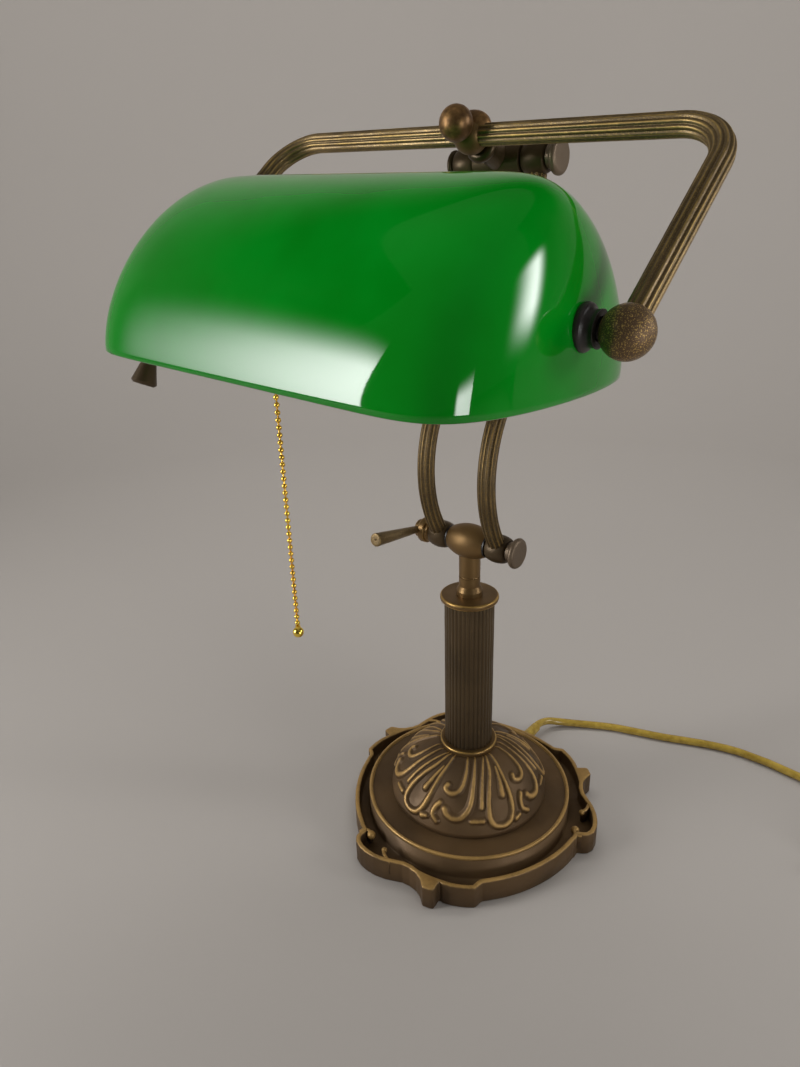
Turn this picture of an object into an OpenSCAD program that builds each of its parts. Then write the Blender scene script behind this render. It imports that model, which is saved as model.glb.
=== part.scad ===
// Bankers lamp: a cast foot with scrolls and a leaf dome, a fluted column, twin swan-neck arms,
// a yoke that carries a green glass loaf shade, a lampholder with a pull chain, and a cord.
// Millimetres. Origin on the table at the column's axis, +Z up, -Y to the lamp's front, +X to its right.

/* [Foot] */
// How far the casting stands above the table, on its felt
foot_lift = 0.5; // [0.2:0.1:1.2]
// Level of the top of the scroll fence
fence_z = 17; // [14:0.5:20]
// Thickness of the scroll fence
fence_t = 3.2; // [2:0.1:4]
// Radius of the plain arcs of the foot's outline
foot_r = 80; // [72:0.5:88]
// Level of the floor between the fence and the drum
trough_z = 7; // [6:0.5:9]
// How far the drum that carries the dome stands in from the plain arcs
drum_inset = 8.8; // [7:0.2:11]
// Level of the drum's top
drum_z = 23; // [21:0.5:26]
// Thickness of the drum's roof
drum_roof = 6; // [4:0.5:7]
// Diameter of the bead round the drum's top edge
drum_bead_d = 2.4; // [1.6:0.2:3.2]
// Thickness of the drum's wall round the hollow
drum_wall = 7.2; // [6.2:0.2:11.2]
// Width of the step that seats the bottom cover
cover_step = 2.2; // [1:0.1:2.6]
// Thickness of the bottom cover
cover_t = 1.2; // [0.8:0.1:1.8]
// Thickness of the felt pad
felt_t = 2; // [1.5:0.1:2.6]
// Thickness of the iron weight
weight_t = 12.5; // [10:0.5:13]

/* [Foot scrolls] */
// Number of scroll groups round the foot
scroll_n = 3; // [2:1:3]
// Direction of the first scroll group, in degrees
scroll_turn = 252; // [246:1:258]
// Radius of the round lobe of a scroll
lobe_r = 20.5; // [18:0.5:21.5]
// How far the lobe's centre lies inside the plain arcs
lobe_in = 8; // [7:0.5:10]
// Direction of the lobe within its group, in degrees
lobe_turn = 2; // [0:0.5:4]
// Radius of the shoulder that carries the post
shoulder_r = 9; // [7:0.5:10]
// Direction of the shoulder within its group, in degrees
shoulder_turn = 34; // [32:0.5:36]
// Radius of the small round post
post_r = 4.2; // [3.6:0.1:5]
// How far the post's centre lies outside the plain arcs
post_out = 8.4; // [7:0.2:10]
// Direction of the post within its group, in degrees
post_turn = 37; // [36:0.5:38]
// How far the stepped tab beside the post stands out from the plain arcs
tab_out = 7; // [5:0.5:8]
// Direction where the tab starts, in degrees
tab_start = 42; // [41:0.5:43]
// Direction where the tab ends, in degrees
tab_end = 54; // [52:0.5:57]
// Radius of the hook curled inside the lobe
curl_r = 5; // [4:0.2:6]
// Thickness of the hook
curl_t = 2.4; // [1.8:0.1:3]
// How far the hook's centre lies outside the plain arcs
curl_out = 1; // [0:0.2:2]
// Direction of the hook within its group, in degrees
curl_turn = -1; // [-3:0.5:1]
// Radius of the long leaf inside the lobe
leaf_bow_r = 9; // [8:0.2:10]
// Direction of the long leaf within its group, in degrees
leaf_bow_turn = 8; // [7:0.5:9]

/* [Leaf dome] */
// Width of the flat shelf of the drum round the dome
dome_shelf = 16.7; // [13.2:0.5:21.2]
// Height of the plain edge round the dome's foot
dome_edge = 3; // [2:0.2:4]
// Height of the dome
dome_h = 37; // [33:0.5:40]
// Radius of the dome's flat top
dome_top_r = 20.5; // [19:0.5:22]
// Wall of the hollow dome
dome_wall = 4; // [3:0.2:5]
// Number of leaf groups round the dome
leaf_n = 5; // [4:1:5]
// Direction of the first leaf group, in degrees
leaf_turn = 332; // [0:1:359]
// Thickness of the heavy ridges
ridge_d = 3.4; // [2.4:0.1:3.8]
// Thickness of the light ridges
vein_d = 2.4; // [1.6:0.1:3]
// Diameter of the large knobs that end the curls
knob_d = 4.4; // [3.4:0.1:5]
// How much thicker a joint between ridges is than its ridge
knob_grow = 0.7; // [0.4:0.1:1]
// How far a ridge stops short inside its joints
ridge_trim = 0.7; // [0.5:0.1:0.8]

/* [Column] */
// Diameter of the fluted column
column_d = 32.4; // [28:0.2:35]
// Length of the column
column_l = 111.2; // [80:0.5:160]
// Wall of the column
column_wall = 4; // [3:0.2:6]
// Number of flutes
flute_n = 36; // [24:2:44]
// Width of a flute
flute_w = 1.9; // [1.2:0.1:2]
// Thickness of the ring round the column's foot
ring_h = 5; // [3:0.2:7]
// Diameter of the collar on the column
collar_d = 37.9; // [36:0.1:42]
// Thickness of the collar
collar_h = 4; // [3:0.2:6]
// Depth of the collar's spigot inside the column
spigot_h = 5; // [3:0.5:8]
// Diameter of the tie rod through the foot and column
rod_d = 10; // [8:0.5:12]
// Width across the flats of the tie nut
nut_w = 17; // [15:0.5:19]
// Thickness of the tie nut
nut_t = 6; // [4:0.5:7]

/* [Lower pivot] */
// Height of the pivot's axis above the collar
pivot_rise = 36.4; // [30:0.2:45]
// Diameter of the stem under the pivot
stem_d = 13.6; // [13:0.1:15]
// Diameter of the stem's foot
stem_foot_d = 16.8; // [16:0.1:19]
// Height of the stem's foot
stem_foot_h = 3; // [2:0.2:5]
// Level of the stem's groove above the collar
groove_rise = 13; // [11:0.5:16]
// Width of the stem's groove
groove_w = 1.2; // [0.8:0.1:1.8]
// Diameter of the barrel at its middle
barrel_d = 22; // [19:0.2:24]
// Diameter of the barrel at its ends
barrel_end_d = 15; // [13:0.2:17]
// Length of the barrel along the pivot
barrel_l = 26; // [22:0.5:30]
// Diameter of the pivot bolts
bolt_d = 6; // [5:0.1:7]
// Radial clearance of a turning bolt
turn_fit = 0.05; // [0.02:0.01:0.09]
// Side gap between pieces that turn on each other
side_gap = 0.3; // [0.2:0.05:0.5]
// Diameter of the friction washers
washer_d = 15; // [13:0.5:17]
// Thickness of the friction washers
washer_t = 0.8; // [0.5:0.1:1.2]
// Diameter of a bolt's disc head
head_d = 18.8; // [16:0.2:22]
// Thickness of a bolt's disc head
head_t = 4; // [3:0.2:6]
// Diameter of the neck behind the disc head
neck_d = 12; // [10:0.2:14]
// Length of the neck behind the disc head
neck_l = 3; // [2:0.2:5]

/* [Clamp lever] */
// Diameter of the lever's flange
flange_d = 16.6; // [15:0.2:19]
// Thickness of the lever's flange
flange_t = 1.6; // [1.2:0.1:2.4]
// Diameter of the lever's hub
lever_hub_d = 12; // [11:0.2:14]
// Length of the hub behind the flange
lever_hub_l = 5.5; // [4:0.5:8]
// Thickness of the hub's domed cap
lever_cap_t = 4; // [3:0.2:6]
// Length of the lever from the bolt's axis
lever_l = 44; // [34:1:56]
// Thickness of the lever at its root
lever_root_d = 4.6; // [4:0.1:6]
// Thickness of the lever at its round tip
lever_tip_d = 8.4; // [6:0.2:10]
// Rise of the lever above level, in degrees
lever_rise = 9; // [0:1:20]

/* [Arms] */
// Diameter of the reeded tubes
tube_d = 10.6; // [9:0.1:12]
// Number of reeds round a tube
reed_n = 12; // [8:4:16]
// Diameter of one reed
reed_d = 2.2; // [1.6:0.1:2.4]
// Radius of the lower bend of the arms
low_bend_r = 72; // [66:1:80]
// Height of the lower bend's centre above the lower pivot
low_bend_rise = 45; // [38:1:52]
// Height of the upper pivot above the lower pivot
arm_rise = 212.7; // [190:1:240]
// Distance of the upper pivot behind the lower pivot
arm_back = 28.5; // [20:0.5:36]
// Diameter of the plain ferrules at the arms' ends
ferrule_d = 11.4; // [10.8:0.1:13]
// Length of a ferrule outside its eye
ferrule_l = 6; // [3:0.5:10]
// Diameter of the eyes at the arms' ends
eye_d = 16.6; // [15:0.2:19]
// Length of the eyes
eye_l = 14; // [12:0.5:18]

/* [Head] */
// Distance of the yoke's bar in front of the lamp's axis
hub_front = 2; // [0:0.5:4]
// Height of the yoke's bar above the upper pivot
hub_rise = 10.1; // [8:0.1:12]
// Diameter of the head's barrel on the upper pivot
head_barrel_d = 17; // [15:0.2:19]
// Diameter of the boss from the barrel to the hub
boss_d = 13; // [11:0.2:15]
// Diameter of the boss's collar behind the hub
boss_collar_d = 18; // [16:0.2:18.6]
// Thickness of the boss's collar
boss_collar_t = 6; // [4:0.2:7]
// Diameter of the hub ball
hub_d = 18; // [17:0.2:20]
// Distance of the hub ball's flats from its centre
hub_flat = 7.8; // [7.4:0.1:8.2]
// Diameter of the hub's ball-shaped cap
cap_d = 16.8; // [15:0.2:18]
// Diameter of the flat on the back of the cap
cap_flat_d = 12.4; // [11:0.2:13]
// Diameter of the hub bolt
hub_bolt_d = 4; // [3.5:0.1:4.6]
// Sideways lean of the yoke as it stands, in degrees
yoke_lean = 3.3; // [-6:0.1:6]

/* [Yoke] */
// Drop of the yoke's legs below level, in degrees
yoke_drop = 40.3; // [34:0.1:46]
// Gap along the shade's axis from an end of the glass to the middle of the leg beside it
leg_gap = 15.7; // [14.5:0.1:20]
// Distance of the shade's axis from the yoke's bar
leg_l = 113; // [110:0.5:125]
// Radius of the yoke's bends
bend_r = 24; // [18:0.5:30]
// Diameter of the ball at the end of a leg
ball_d = 20.6; // [18:0.2:22]
// Distance of a leg's end from its ball's centre
leg_seat = 6; // [5.2:0.1:6.8]
// Diameter of the shade's pivot pins
pin_d = 8; // [7:0.1:9]
// Depth of a pin in its ball, past the ball's centre plane side
pin_seat = 3.2; // [2:0.1:4]
// Length of a pin inside the glass
pin_inner_l = 19; // [18:0.5:22]
// Diameter of the nut on the right pin
pin_nut_d = 14; // [12:0.5:18]
// Thickness of the nut on the right pin
pin_nut_t = 4; // [3:0.2:5]

/* [Shade] */
// Length of the glass
shade_l = 229; // [216:1:240]
// Radius of the glass from its rim line
shade_r = 79.4; // [76:0.2:84]
// Radius of the rounded ends
shade_corner_r = 31; // [26:1:36]
// Radius of the bulge of the glass's ends
shade_end_r = 250; // [220:5:300]
// Thickness of the glass
glass_t = 4; // [3:0.2:5]
// Height of the pivot pins above the rim
rim_drop = 27.3; // [25:0.1:31]
// Lift of the front rim as the shade stands, in degrees
shade_tilt = 1.5; // [-6:0.5:12]
// Diameter of the bushes in the glass
bush_d = 12.4; // [11:0.1:13.4]
// Gap round a bush in the glass
bush_gap = 0.3; // [0.2:0.1:0.6]
// Diameter of a bush's flange
bush_flange_d = 19; // [17:0.2:20]
// Thickness of a bush's flange
bush_flange_t = 5; // [4:0.2:5.2]
// Depth of the flat that seats the flange in the bulged glass
bush_seat = 0.6; // [0.4:0.1:1]
// Diameter of the nut inside the glass
bush_nut_d = 20; // [18:0.5:24]
// Thickness of the nut inside the glass
bush_nut_t = 3; // [2:0.2:4]
// Distance from a bush to its ball
bush_gap_ball = 0.4; // [0.3:0.1:0.6]

/* [Shade handle] */
// Length of the handle from the axle to its knob
handle_l = 57; // [48:1:64]
// Diameter of the handle's rod
handle_d = 5; // [4:0.2:6]
// Diameter of the knob's wide end
knob_wide_d = 14.6; // [12:0.2:17]
// Diameter of the knob's narrow end
knob_neck_d = 7.5; // [6:0.1:9]
// Length of the knob
knob_l = 15; // [12:0.5:18]
// How far the knob stands past the arm's end
knob_past = 5.5; // [4:0.5:7]
// Height of the slope round the knob's end
knob_edge = 1.4; // [1:0.1:2]
// Diameter of the handle's hub
handle_hub_d = 13; // [11:0.2:15]
// Thickness of the handle's hub
handle_hub_t = 7; // [6:0.2:9]
// Diameter of the handle's axle
handle_axle_d = 5; // [4:0.1:6]
// Depth of the handle's axle in the ball
handle_axle_l = 6; // [4:0.2:6.4]
// Forward slant of the hanging handle, in degrees
handle_slant = 25; // [10:1:40]

/* [Light] */
// Diameter of the lampholder's shell
holder_d = 33; // [32:0.2:38]
// Wall of the lampholder's shell
holder_wall = 1.2; // [0.8:0.1:1.6]
// Distance of the lampholder's back from the left end of the glass
holder_back = 19; // [18:0.5:21]
// Length of the lampholder's domed cap
holder_cap_l = 17; // [15:0.5:20]
// Length of the lampholder's shell
holder_shell_l = 32; // [28:0.5:36]
// Diameter of the bulb's screw cap, a standard size
bulb_cap_d = 26; // [25.6:0.1:26.4]
// Length of the bulb's screw cap
bulb_cap_l = 25; // [23:0.5:26]
// Radial clearance of the bulb's cap in the lampholder
bulb_fit = 0.3; // [0.2:0.05:0.5]
// Diameter of the bulb
bulb_d = 45; // [40:1:48]
// Length of the bulb's glass
bulb_l = 52; // [48:0.5:60]
// Distance of the pull switch from the lampholder's back
switch_at = 34.5; // [28:0.5:38]
// Diameter of the bell that guides the chain
bell_d = 9; // [8:0.2:11]
// Distance of the bell's mouth below the shade's axis
bell_drop = 31; // [29:0.5:34]
// Diameter of the switch's link
link_d = 2.6; // [2.2:0.1:3]
// Diameter of the link's end ball
link_ball_d = 4; // [3.6:0.1:5]
// Travel of the switch
pull_travel = 8; // [5:0.5:10]
// Diameter of the chain's beads
bead_d = 3.2; // [2.8:0.1:3.6]
// Distance between the beads
bead_pitch = 4.2; // [3.8:0.1:4.8]
// Number of beads in the chain
bead_n = 38; // [20:1:44]
// Diameter of the wire between the beads
wire_d = 1.2; // [1:0.1:1.6]
// Diameter of the ball at the chain's end
chain_ball_d = 6.8; // [5:0.2:9]

/* [Cord] */
// Diameter of the cord
cord_d = 6; // [5:0.1:6.4]
// Height of the cord's outlet
outlet_z = 9.5; // [8.5:0.5:10]
// Diameter of the outlet's sleeve through the foot
sleeve_d = 9; // [8:0.2:10]
// Diameter of the outlet's flange
outlet_flange_d = 13; // [11:0.2:15]
// Thickness of the outlet's flange
outlet_flange_t = 2.5; // [2:0.1:4]
// Diameter of the outlet's tip
outlet_tip_d = 7.6; // [7:0.1:8]
// Length of the outlet's taper outside the foot
outlet_l = 20; // [20:1:20]
// Least radius of the coil's turns
coil_r = 26; // [25:0.5:28]
// Distance between the coil's turns and between its layers
coil_pitch = 6.6; // [6.6:0.1:6.8]
// Height of the coil's lowest point
coil_lift = 0.7; // [0.6:0.1:1]
// Width of the tie round the coil
tie_w = 8; // [6:0.5:12]
// Thickness of the tie
tie_t = 0.6; // [0.4:0.1:0.6]
// Gap between the tie and the coil
tie_gap = 0.1; // [0.1:0.05:0.3]
// Length of the plug's body
plug_l = 36; // [32:0.5:42]
// Width of the plug's body
plug_w = 35.3; // [33:0.1:37]
// Thickness of the plug's body
plug_t = 14; // [13.4:0.2:15]
// Length of the plug's neck round the cord
plug_neck_l = 16; // [12:0.5:22]
// Diameter of the plug's pins, a standard size
plug_pin_d = 4; // [3.9:0.05:4.1]
// Length of the plug's pins
plug_pin_l = 19; // [18.5:0.1:19.5]
// Distance between the plug's pins
plug_pin_gap = 18.6; // [18:0.1:19.2]

/* [Hidden] */
$fn = 96;

// Colours of the finishes
bronze = "#4a3b25";
worn_gold = "#8f7440";
bright_brass = "#c8a445";
black = "#2b2826";
iron = "#4a4a4c";
felt = "#22382a";
green = [0.02, 0.45, 0.1, 0.8];
opal = [0.95, 0.95, 0.9];
white = "#e9e6dc";
cord_gold = "#8d7b33";

// Small overlap that keeps cuts clean
eps = 0.01;
// Clearance of pieces that are slipped over each other and stay put
slip = 0.05;

// Rings and scrolls of the foot, all told from its plain arcs
drum_r = foot_r - drum_inset;
hollow_r = drum_r - drum_wall;
dome_r = drum_r - dome_shelf;
lobe_at = foot_r - lobe_in;
post_at = foot_r + post_out;
tab_r = foot_r + tab_out;
curl_at = foot_r + curl_out;

// Levels up the lamp
roof_z = drum_z - drum_roof;
cover_top = felt_t + cover_t;
dome_top_z = drum_z + dome_h;
collar_z = dome_top_z + column_l;
collar_top = collar_z + collar_h;
pivot_z = collar_top + pivot_rise;
head_z = pivot_z + arm_rise;
rod_top = collar_top + stem_foot_h + groove_rise;

// Ball that the dome is cut from
dome_foot_z = drum_z + dome_edge;
dome_c = (dome_top_r * dome_top_r + dome_top_z * dome_top_z - dome_r * dome_r - dome_foot_z * dome_foot_z)
    / (2 * (dome_top_z - dome_foot_z));
dome_R = norm([dome_r, dome_foot_z - dome_c]);

// Places along the two pivots, measured from the middle
washer_x = barrel_l / 2 + side_gap;
eye_x = washer_x + washer_t + side_gap;
arm_x = eye_x + eye_l / 2;
stack_x = eye_x + eye_l + side_gap;

// Bends of the arms: the lower one starts on the lower pivot, the upper one ends upright on the upper pivot
low_bend_y = sqrt(low_bend_r * low_bend_r - low_bend_rise * low_bend_rise);
bend_dy = low_bend_y - arm_back;
bend_dz = arm_rise - low_bend_rise;
high_bend_r = (bend_dy * bend_dy + bend_dz * bend_dz - low_bend_r * low_bend_r)
    / (2 * (low_bend_r - bend_dy));
bend_turn = atan2(bend_dz, high_bend_r + bend_dy);
bend_start = asin(low_bend_rise / low_bend_r);
ferrule_reach = eye_d / 2 + ferrule_l;

// Hub: its bolt points from the upper pivot through the yoke's bar
hub_at = [0, -hub_front, head_z + hub_rise];
hub_slope = atan2(hub_rise, arm_back + hub_front);
hub_reach = norm([hub_rise, arm_back + hub_front]);
boss_start = hub_flat + side_gap;
cap_centre = boss_start + sqrt(cap_d * cap_d - cap_flat_d * cap_flat_d) / 2;

// Shade: places along its axis, measured from the middle
glass_x = shade_l / 2;
leg_x = glass_x + leg_gap;
end_c = glass_x - shade_end_r;
corner_at = [
    shade_r - shade_corner_r,
    end_c + sqrt(pow(shade_end_r - shade_corner_r, 2) - pow(shade_r - shade_corner_r, 2))
];
seat_x = end_c + sqrt(pow(shade_end_r, 2) - pow(rim_drop, 2)) - bush_seat;
inner_seat_x = seat_x - glass_t;
bush_bore = pin_d + 2 * turn_fit;
bush_end = leg_x - sqrt(ball_d * ball_d - bush_bore * bush_bore) / 2 - bush_gap_ball;
pin_x = leg_x - pin_seat;
pin_end = glass_x - glass_t - pin_inner_l;
holder_x = -glass_x + holder_back;
shell_x = holder_x + holder_cap_l;
shell_end = shell_x + holder_shell_l;
bulb_x = shell_end;
switch_x = holder_x + switch_at;
axis_at = [0, -leg_l * cos(yoke_drop), -leg_l * sin(yoke_drop)];

// Chain: it hangs upright from the link's end ball
link_z = -bell_drop - bead_d;
link_at = to_world(axis_at + [switch_x, 0, link_z]);
chain_l = bead_pitch * bead_n;

// Coil of the cord's spare length: it spirals in on the table and out again on top
coil_at = [266, 126];
coil_in_turns = 2.75;
coil_climb_turns = 0.5;
coil_out_turns = 3;
coil_steps = 24;
coil_sides = 6;
coil_z = cord_d / 2 + coil_lift;
coil_mid_turn = coil_in_turns + coil_climb_turns / 2;
coil_start_r = coil_r + coil_pitch * coil_mid_turn;
coil_end_r = coil_r + coil_pitch * (coil_out_turns + coil_climb_turns / 2);
coil_top_y = coil_at[1] + coil_start_r;
coil_turns = coil_in_turns + coil_climb_turns + coil_out_turns;
coil_last = round(coil_turns * coil_steps);
plug_at = coil_at + [coil_end_r, -36];
tie_turn = 215;

// Route of the cord's free stretch, from the outlet's tip to the coil
cord_start = foot_r + outlet_l;
cord_route = [
    [0, cord_start, outlet_z],
    [0, cord_start + cord_d, outlet_z],
    [3, 115, 8],
    [10, 123, 5.5],
    [21, 131, 3.9],
    [34, 139, 3.2],
    [48, 146, 3],
    [63, 151, 3],
    [85, 158, 3],
    [100, 164, 3],
    [116, 170, 3],
    [130, 174, 3],
    [143, 176, 3],
    [156, 176, 3],
    [168, 175, 3],
    [184, 173, 3.1],
    [200, 172, 3.3],
    [218, coil_top_y, 3.5],
    [236, coil_top_y, coil_z],
    [coil_at[0] - 2 * cord_d, coil_top_y, coil_z],
    [coil_at[0] - cord_d, coil_top_y, coil_z]
];

// Place in the lamp of a point that is given from the hub, before the yoke leans
function to_world(v) = hub_at + [
    v[0] * cos(yoke_lean) + v[2] * sin(yoke_lean),
    v[1],
    v[2] * cos(yoke_lean) - v[0] * sin(yoke_lean)
];

function unit(v) = v / norm(v);

// Direction from the dome ball's centre, from a bearing and a height in degrees
function bearing(turn, height) = [cos(height) * cos(turn), cos(height) * sin(turn), sin(height)];

// A direction as seen from a frame whose Z axis points along n
function seen_from(v, n) =
    let (turn = atan2(n[1], n[0]), lean = acos(n[2]))
    let (flat = [v[0] * cos(turn) + v[1] * sin(turn), v[1] * cos(turn) - v[0] * sin(turn)])
    [flat[0] * cos(lean) - v[2] * sin(lean), flat[1], flat[0] * sin(lean) + v[2] * cos(lean)];

// Where a great circle from a meets the small circle about c, on its left (1) or right (-1)
function touch(a, c, spread, side) =
    let (across = unit(cross(a, c)), ahead = cross(across, a))
    let (lean = asin(sin(spread) / sin(acos(a * c))))
    let (n = cos(lean) * across + side * sin(lean) * ahead)
    unit(c - (n * c) * n);

// A direction turned about the axis n
function spin(v, n, a) = v * cos(a) + cross(n, v) * sin(a) + n * (n * v) * (1 - cos(a));

// Stands what follows at the hub, leaning with the yoke
module at_hub() {
    translate(hub_at) rotate([0, yoke_lean, 0]) children();
}

// Stands what follows on the shade's axis, with X along it
module at_axis() {
    at_hub() translate(axis_at) children();
}

// Stands what follows on the rim line of the glass as it is tilted
module at_shade() {
    at_axis() rotate([-shade_tilt, 0, 0]) translate([0, 0, -rim_drop]) children();
}

// Lays a solid of revolution along +X
module along_x() {
    rotate([0, 90, 0]) children();
}

// Lays a solid of revolution along the hub bolt, to the front and up
module along_hub() {
    translate(hub_at) rotate([90 - hub_slope, 0, 0]) children();
}

// A round bar along X between two places
module bar_x(x0, x1, d) {
    translate([min(x0, x1), 0, 0]) along_x() cylinder(d = d, h = abs(x1 - x0));
}

// Cross-section of a tube with reeds
module reeds() {
    circle(d = tube_d - reed_d);
    for (i = [0 : reed_n - 1])
        rotate(i * 360 / reed_n) translate([(tube_d - reed_d) / 2, 0]) circle(d = reed_d);
}

// A disc with a rounded edge, along Z
module round_disc(d, h) {
    rotate_extrude() {
        square([d / 2 - h / 2, h]);
        translate([d / 2 - h / 2, h / 2]) intersection() {
            circle(d = h);
            translate([0, -h / 2]) square(h);
        }
    }
}

// A disc with both edges rounded, along Z
module round_collar(d, h) {
    rotate_extrude() {
        square([d / 2 - h / 2, h]);
        translate([d / 2 - h / 2, h / 2]) circle(d = h);
    }
}

// Outline of the foot, drawn in by an even amount
module foot_outline(inset) {
    circle(r = foot_r - inset);
    for (i = [0 : scroll_n - 1]) rotate(scroll_turn + i * 360 / scroll_n) {
        rotate(lobe_turn) translate([lobe_at, 0]) circle(r = lobe_r - inset);
        rotate(shoulder_turn) translate([foot_r, 0]) circle(r = shoulder_r - inset);
        rotate(post_turn) translate([post_at, 0]) circle(r = post_r - min(inset, post_r - eps));
        intersection() {
            circle(r = tab_r - inset);
            polygon([
                [0, inset],
                tab_reach(tab_start, inset),
                tab_reach(tab_end, -inset)
            ]);
        }
    }
}

// Corner of the tab's wedge, outside the outline
function tab_reach(turn, inset) =
    let (inset_turn = turn + asin(inset / tab_r))
    1.2 * tab_r * [cos(inset_turn), sin(inset_turn)];

module foot_casting() {
    color(bronze) difference() {
        union() {
            translate([0, 0, foot_lift]) linear_extrude(fence_z - foot_lift) difference() {
                foot_outline(0);
                foot_outline(fence_t);
            }
            translate([0, 0, foot_lift]) linear_extrude(trough_z - foot_lift) foot_outline(fence_t / 2);
            translate([0, 0, foot_lift]) cylinder(r = drum_r, h = drum_z - foot_lift);
            translate([0, 0, drum_z]) rotate_extrude()
                translate([drum_r - drum_bead_d / 2, 0]) circle(d = drum_bead_d);
            foot_curls();
        }
        cylinder(r = hollow_r, h = roof_z);
        cylinder(r = hollow_r + cover_step, h = cover_top);
        cylinder(d = rod_d + 2 * slip, h = drum_z + drum_bead_d);
        translate([0, 0, outlet_z]) rotate([-90, 0, 0]) cylinder(d = sleeve_d + 2 * slip, h = foot_r + fence_t);
    }
}

// Hooks and leaves that fill the lobes of the scrolls
module foot_curls() {
    for (i = [0 : scroll_n - 1]) rotate(scroll_turn + i * 360 / scroll_n) {
        rotate(curl_turn) translate([curl_at, 0, foot_lift]) rotate(20)
            rotate_extrude(angle = 260) translate([curl_r - curl_t, 0]) square([curl_t, fence_z - foot_lift]);
        rotate(leaf_bow_turn) translate([curl_at, 0, foot_lift]) rotate(-60)
            rotate_extrude(angle = 110) translate([leaf_bow_r - curl_t, 0])
                square([curl_t, fence_z - foot_lift - curl_t / 2]);
    }
}

// A ridge on the dome: part of the circle about n that starts at a, a little short of both ends
module ridge(n, a, sweep, d) {
    start = seen_from(a, n);
    spread = acos(n * a);
    trim = ridge_trim / (dome_R * sin(spread)) * 180 / PI;
    rotate([0, acos(n[2]), atan2(n[1], n[0])]) rotate(atan2(start[1], start[0]) + min(sweep, 0) + trim)
        rotate_extrude(angle = abs(sweep) - 2 * trim)
            translate(dome_R * [sin(spread), cos(spread)]) circle(d = d, $fn = 24);
}

// A straight ridge on the dome between two directions
module vein(a, b, d) {
    ridge(unit(cross(a, b)), a, acos(a * b), d);
}

// A round knob on the dome
module knob(a, d) {
    translate(dome_R * a) sphere(d = d, $fn = 24);
}

// A straight ridge with a knob at each end
module bar(a, b, d, end_d) {
    vein(a, b, d);
    knob(a, d + knob_grow);
    knob(b, end_d);
}

// A ridge that runs from a to the small circle about c and curls round it
module hook(a, c, spread, sweep, d) {
    p = touch(a, c, spread, -1);
    vein(a, p, d);
    ridge(c, p, sweep, d);
    knob(a, d + knob_grow);
    knob(p, d + knob_grow);
    knob(spin(p, c, sweep), d + 2 * knob_grow);
}

// A drop-shaped loop from a round the small circle about c
module loop(a, c, spread, d) {
    left = touch(a, c, spread, 1);
    right = touch(a, c, spread, -1);
    left_seen = seen_from(left, c);
    right_seen = seen_from(right, c);
    turn = atan2(left_seen[1], left_seen[0]) - atan2(right_seen[1], right_seen[0]);
    vein(a, left, d);
    vein(a, right, d);
    ridge(c, right, turn > 0 ? turn - 360 : turn, d);
    knob(a, d + 2 * knob_grow);
    knob(left, d + knob_grow);
    knob(right, d + knob_grow);
}

// One group of the dome's leaves
module leaf_group() {
    loop(bearing(10, 62), bearing(-1, 34), 8.3, ridge_d);
    bar(bearing(6, 55), bearing(2, 43), vein_d, knob_d);
    bar(bearing(-14, 61), bearing(-17, 39), vein_d, vein_d + knob_grow);
    hook(bearing(-23, 62), bearing(-42, 39.5), 9.5, -150, ridge_d);
    hook(bearing(-37, 63), bearing(-44, 51), 5, -130, vein_d);
    bar(bearing(-21, 33), bearing(-21, 26), vein_d, vein_d + knob_grow);
    knob(bearing(-49, 26), knob_d);
    knob(bearing(14, 27), knob_d);
}

module leaf_dome() {
    color(bronze) union() {
        difference() {
            rotate_extrude() intersection() {
                translate([0, dome_c]) circle(r = dome_R, $fn = 192);
                translate([0, drum_z]) square([dome_r, dome_h]);
            }
            rotate_extrude() intersection() {
                translate([0, dome_c]) circle(r = dome_R - dome_wall, $fn = 192);
                translate([0, drum_z - 1]) square([dome_r - dome_wall, dome_h - dome_wall + 1]);
            }
            translate([0, 0, drum_z]) cylinder(d = rod_d + 2 * slip, h = dome_h + 1);
        }
        translate([0, 0, dome_c])
            for (i = [0 : leaf_n - 1]) rotate(leaf_turn + i * 360 / leaf_n) leaf_group();
    }
}

module foot_weight() {
    color(iron) translate([0, 0, roof_z - weight_t]) difference() {
        cylinder(r = hollow_r - slip, h = weight_t);
        translate([0, 0, -1]) cylinder(d = nut_w * 1.3, h = nut_t + 1);
        cylinder(d = rod_d + 2 * slip, h = weight_t + 1);
    }
}

module bottom_cover() {
    color(iron) translate([0, 0, felt_t]) cylinder(r = hollow_r + cover_step - slip, h = cover_t);
}

module felt_pad() {
    color(felt) cylinder(r = hollow_r + cover_step - slip, h = felt_t);
}

module tie_rod() {
    color(iron) translate([0, 0, roof_z - weight_t]) cylinder(d = rod_d, h = rod_top - roof_z + weight_t);
}

module tie_nut() {
    color(iron) translate([0, 0, roof_z - weight_t]) difference() {
        cylinder(d = nut_w / cos(30), h = nut_t, $fn = 6);
        translate([0, 0, -1]) cylinder(d = rod_d, h = nut_t + 2);
    }
}

module column_ring() {
    color(worn_gold) translate([0, 0, dome_top_z]) difference() {
        round_disc(2 * dome_top_r, ring_h);
        translate([0, 0, -1]) cylinder(d = column_d + 2 * slip, h = ring_h + 2);
    }
}

module column() {
    color(bronze) translate([0, 0, dome_top_z]) linear_extrude(column_l) difference() {
        circle(d = column_d);
        circle(d = column_d - 2 * column_wall);
        for (i = [0 : flute_n - 1])
            rotate(i * 360 / flute_n) translate([column_d / 2, 0]) circle(d = flute_w, $fn = 24);
    }
}

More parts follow.
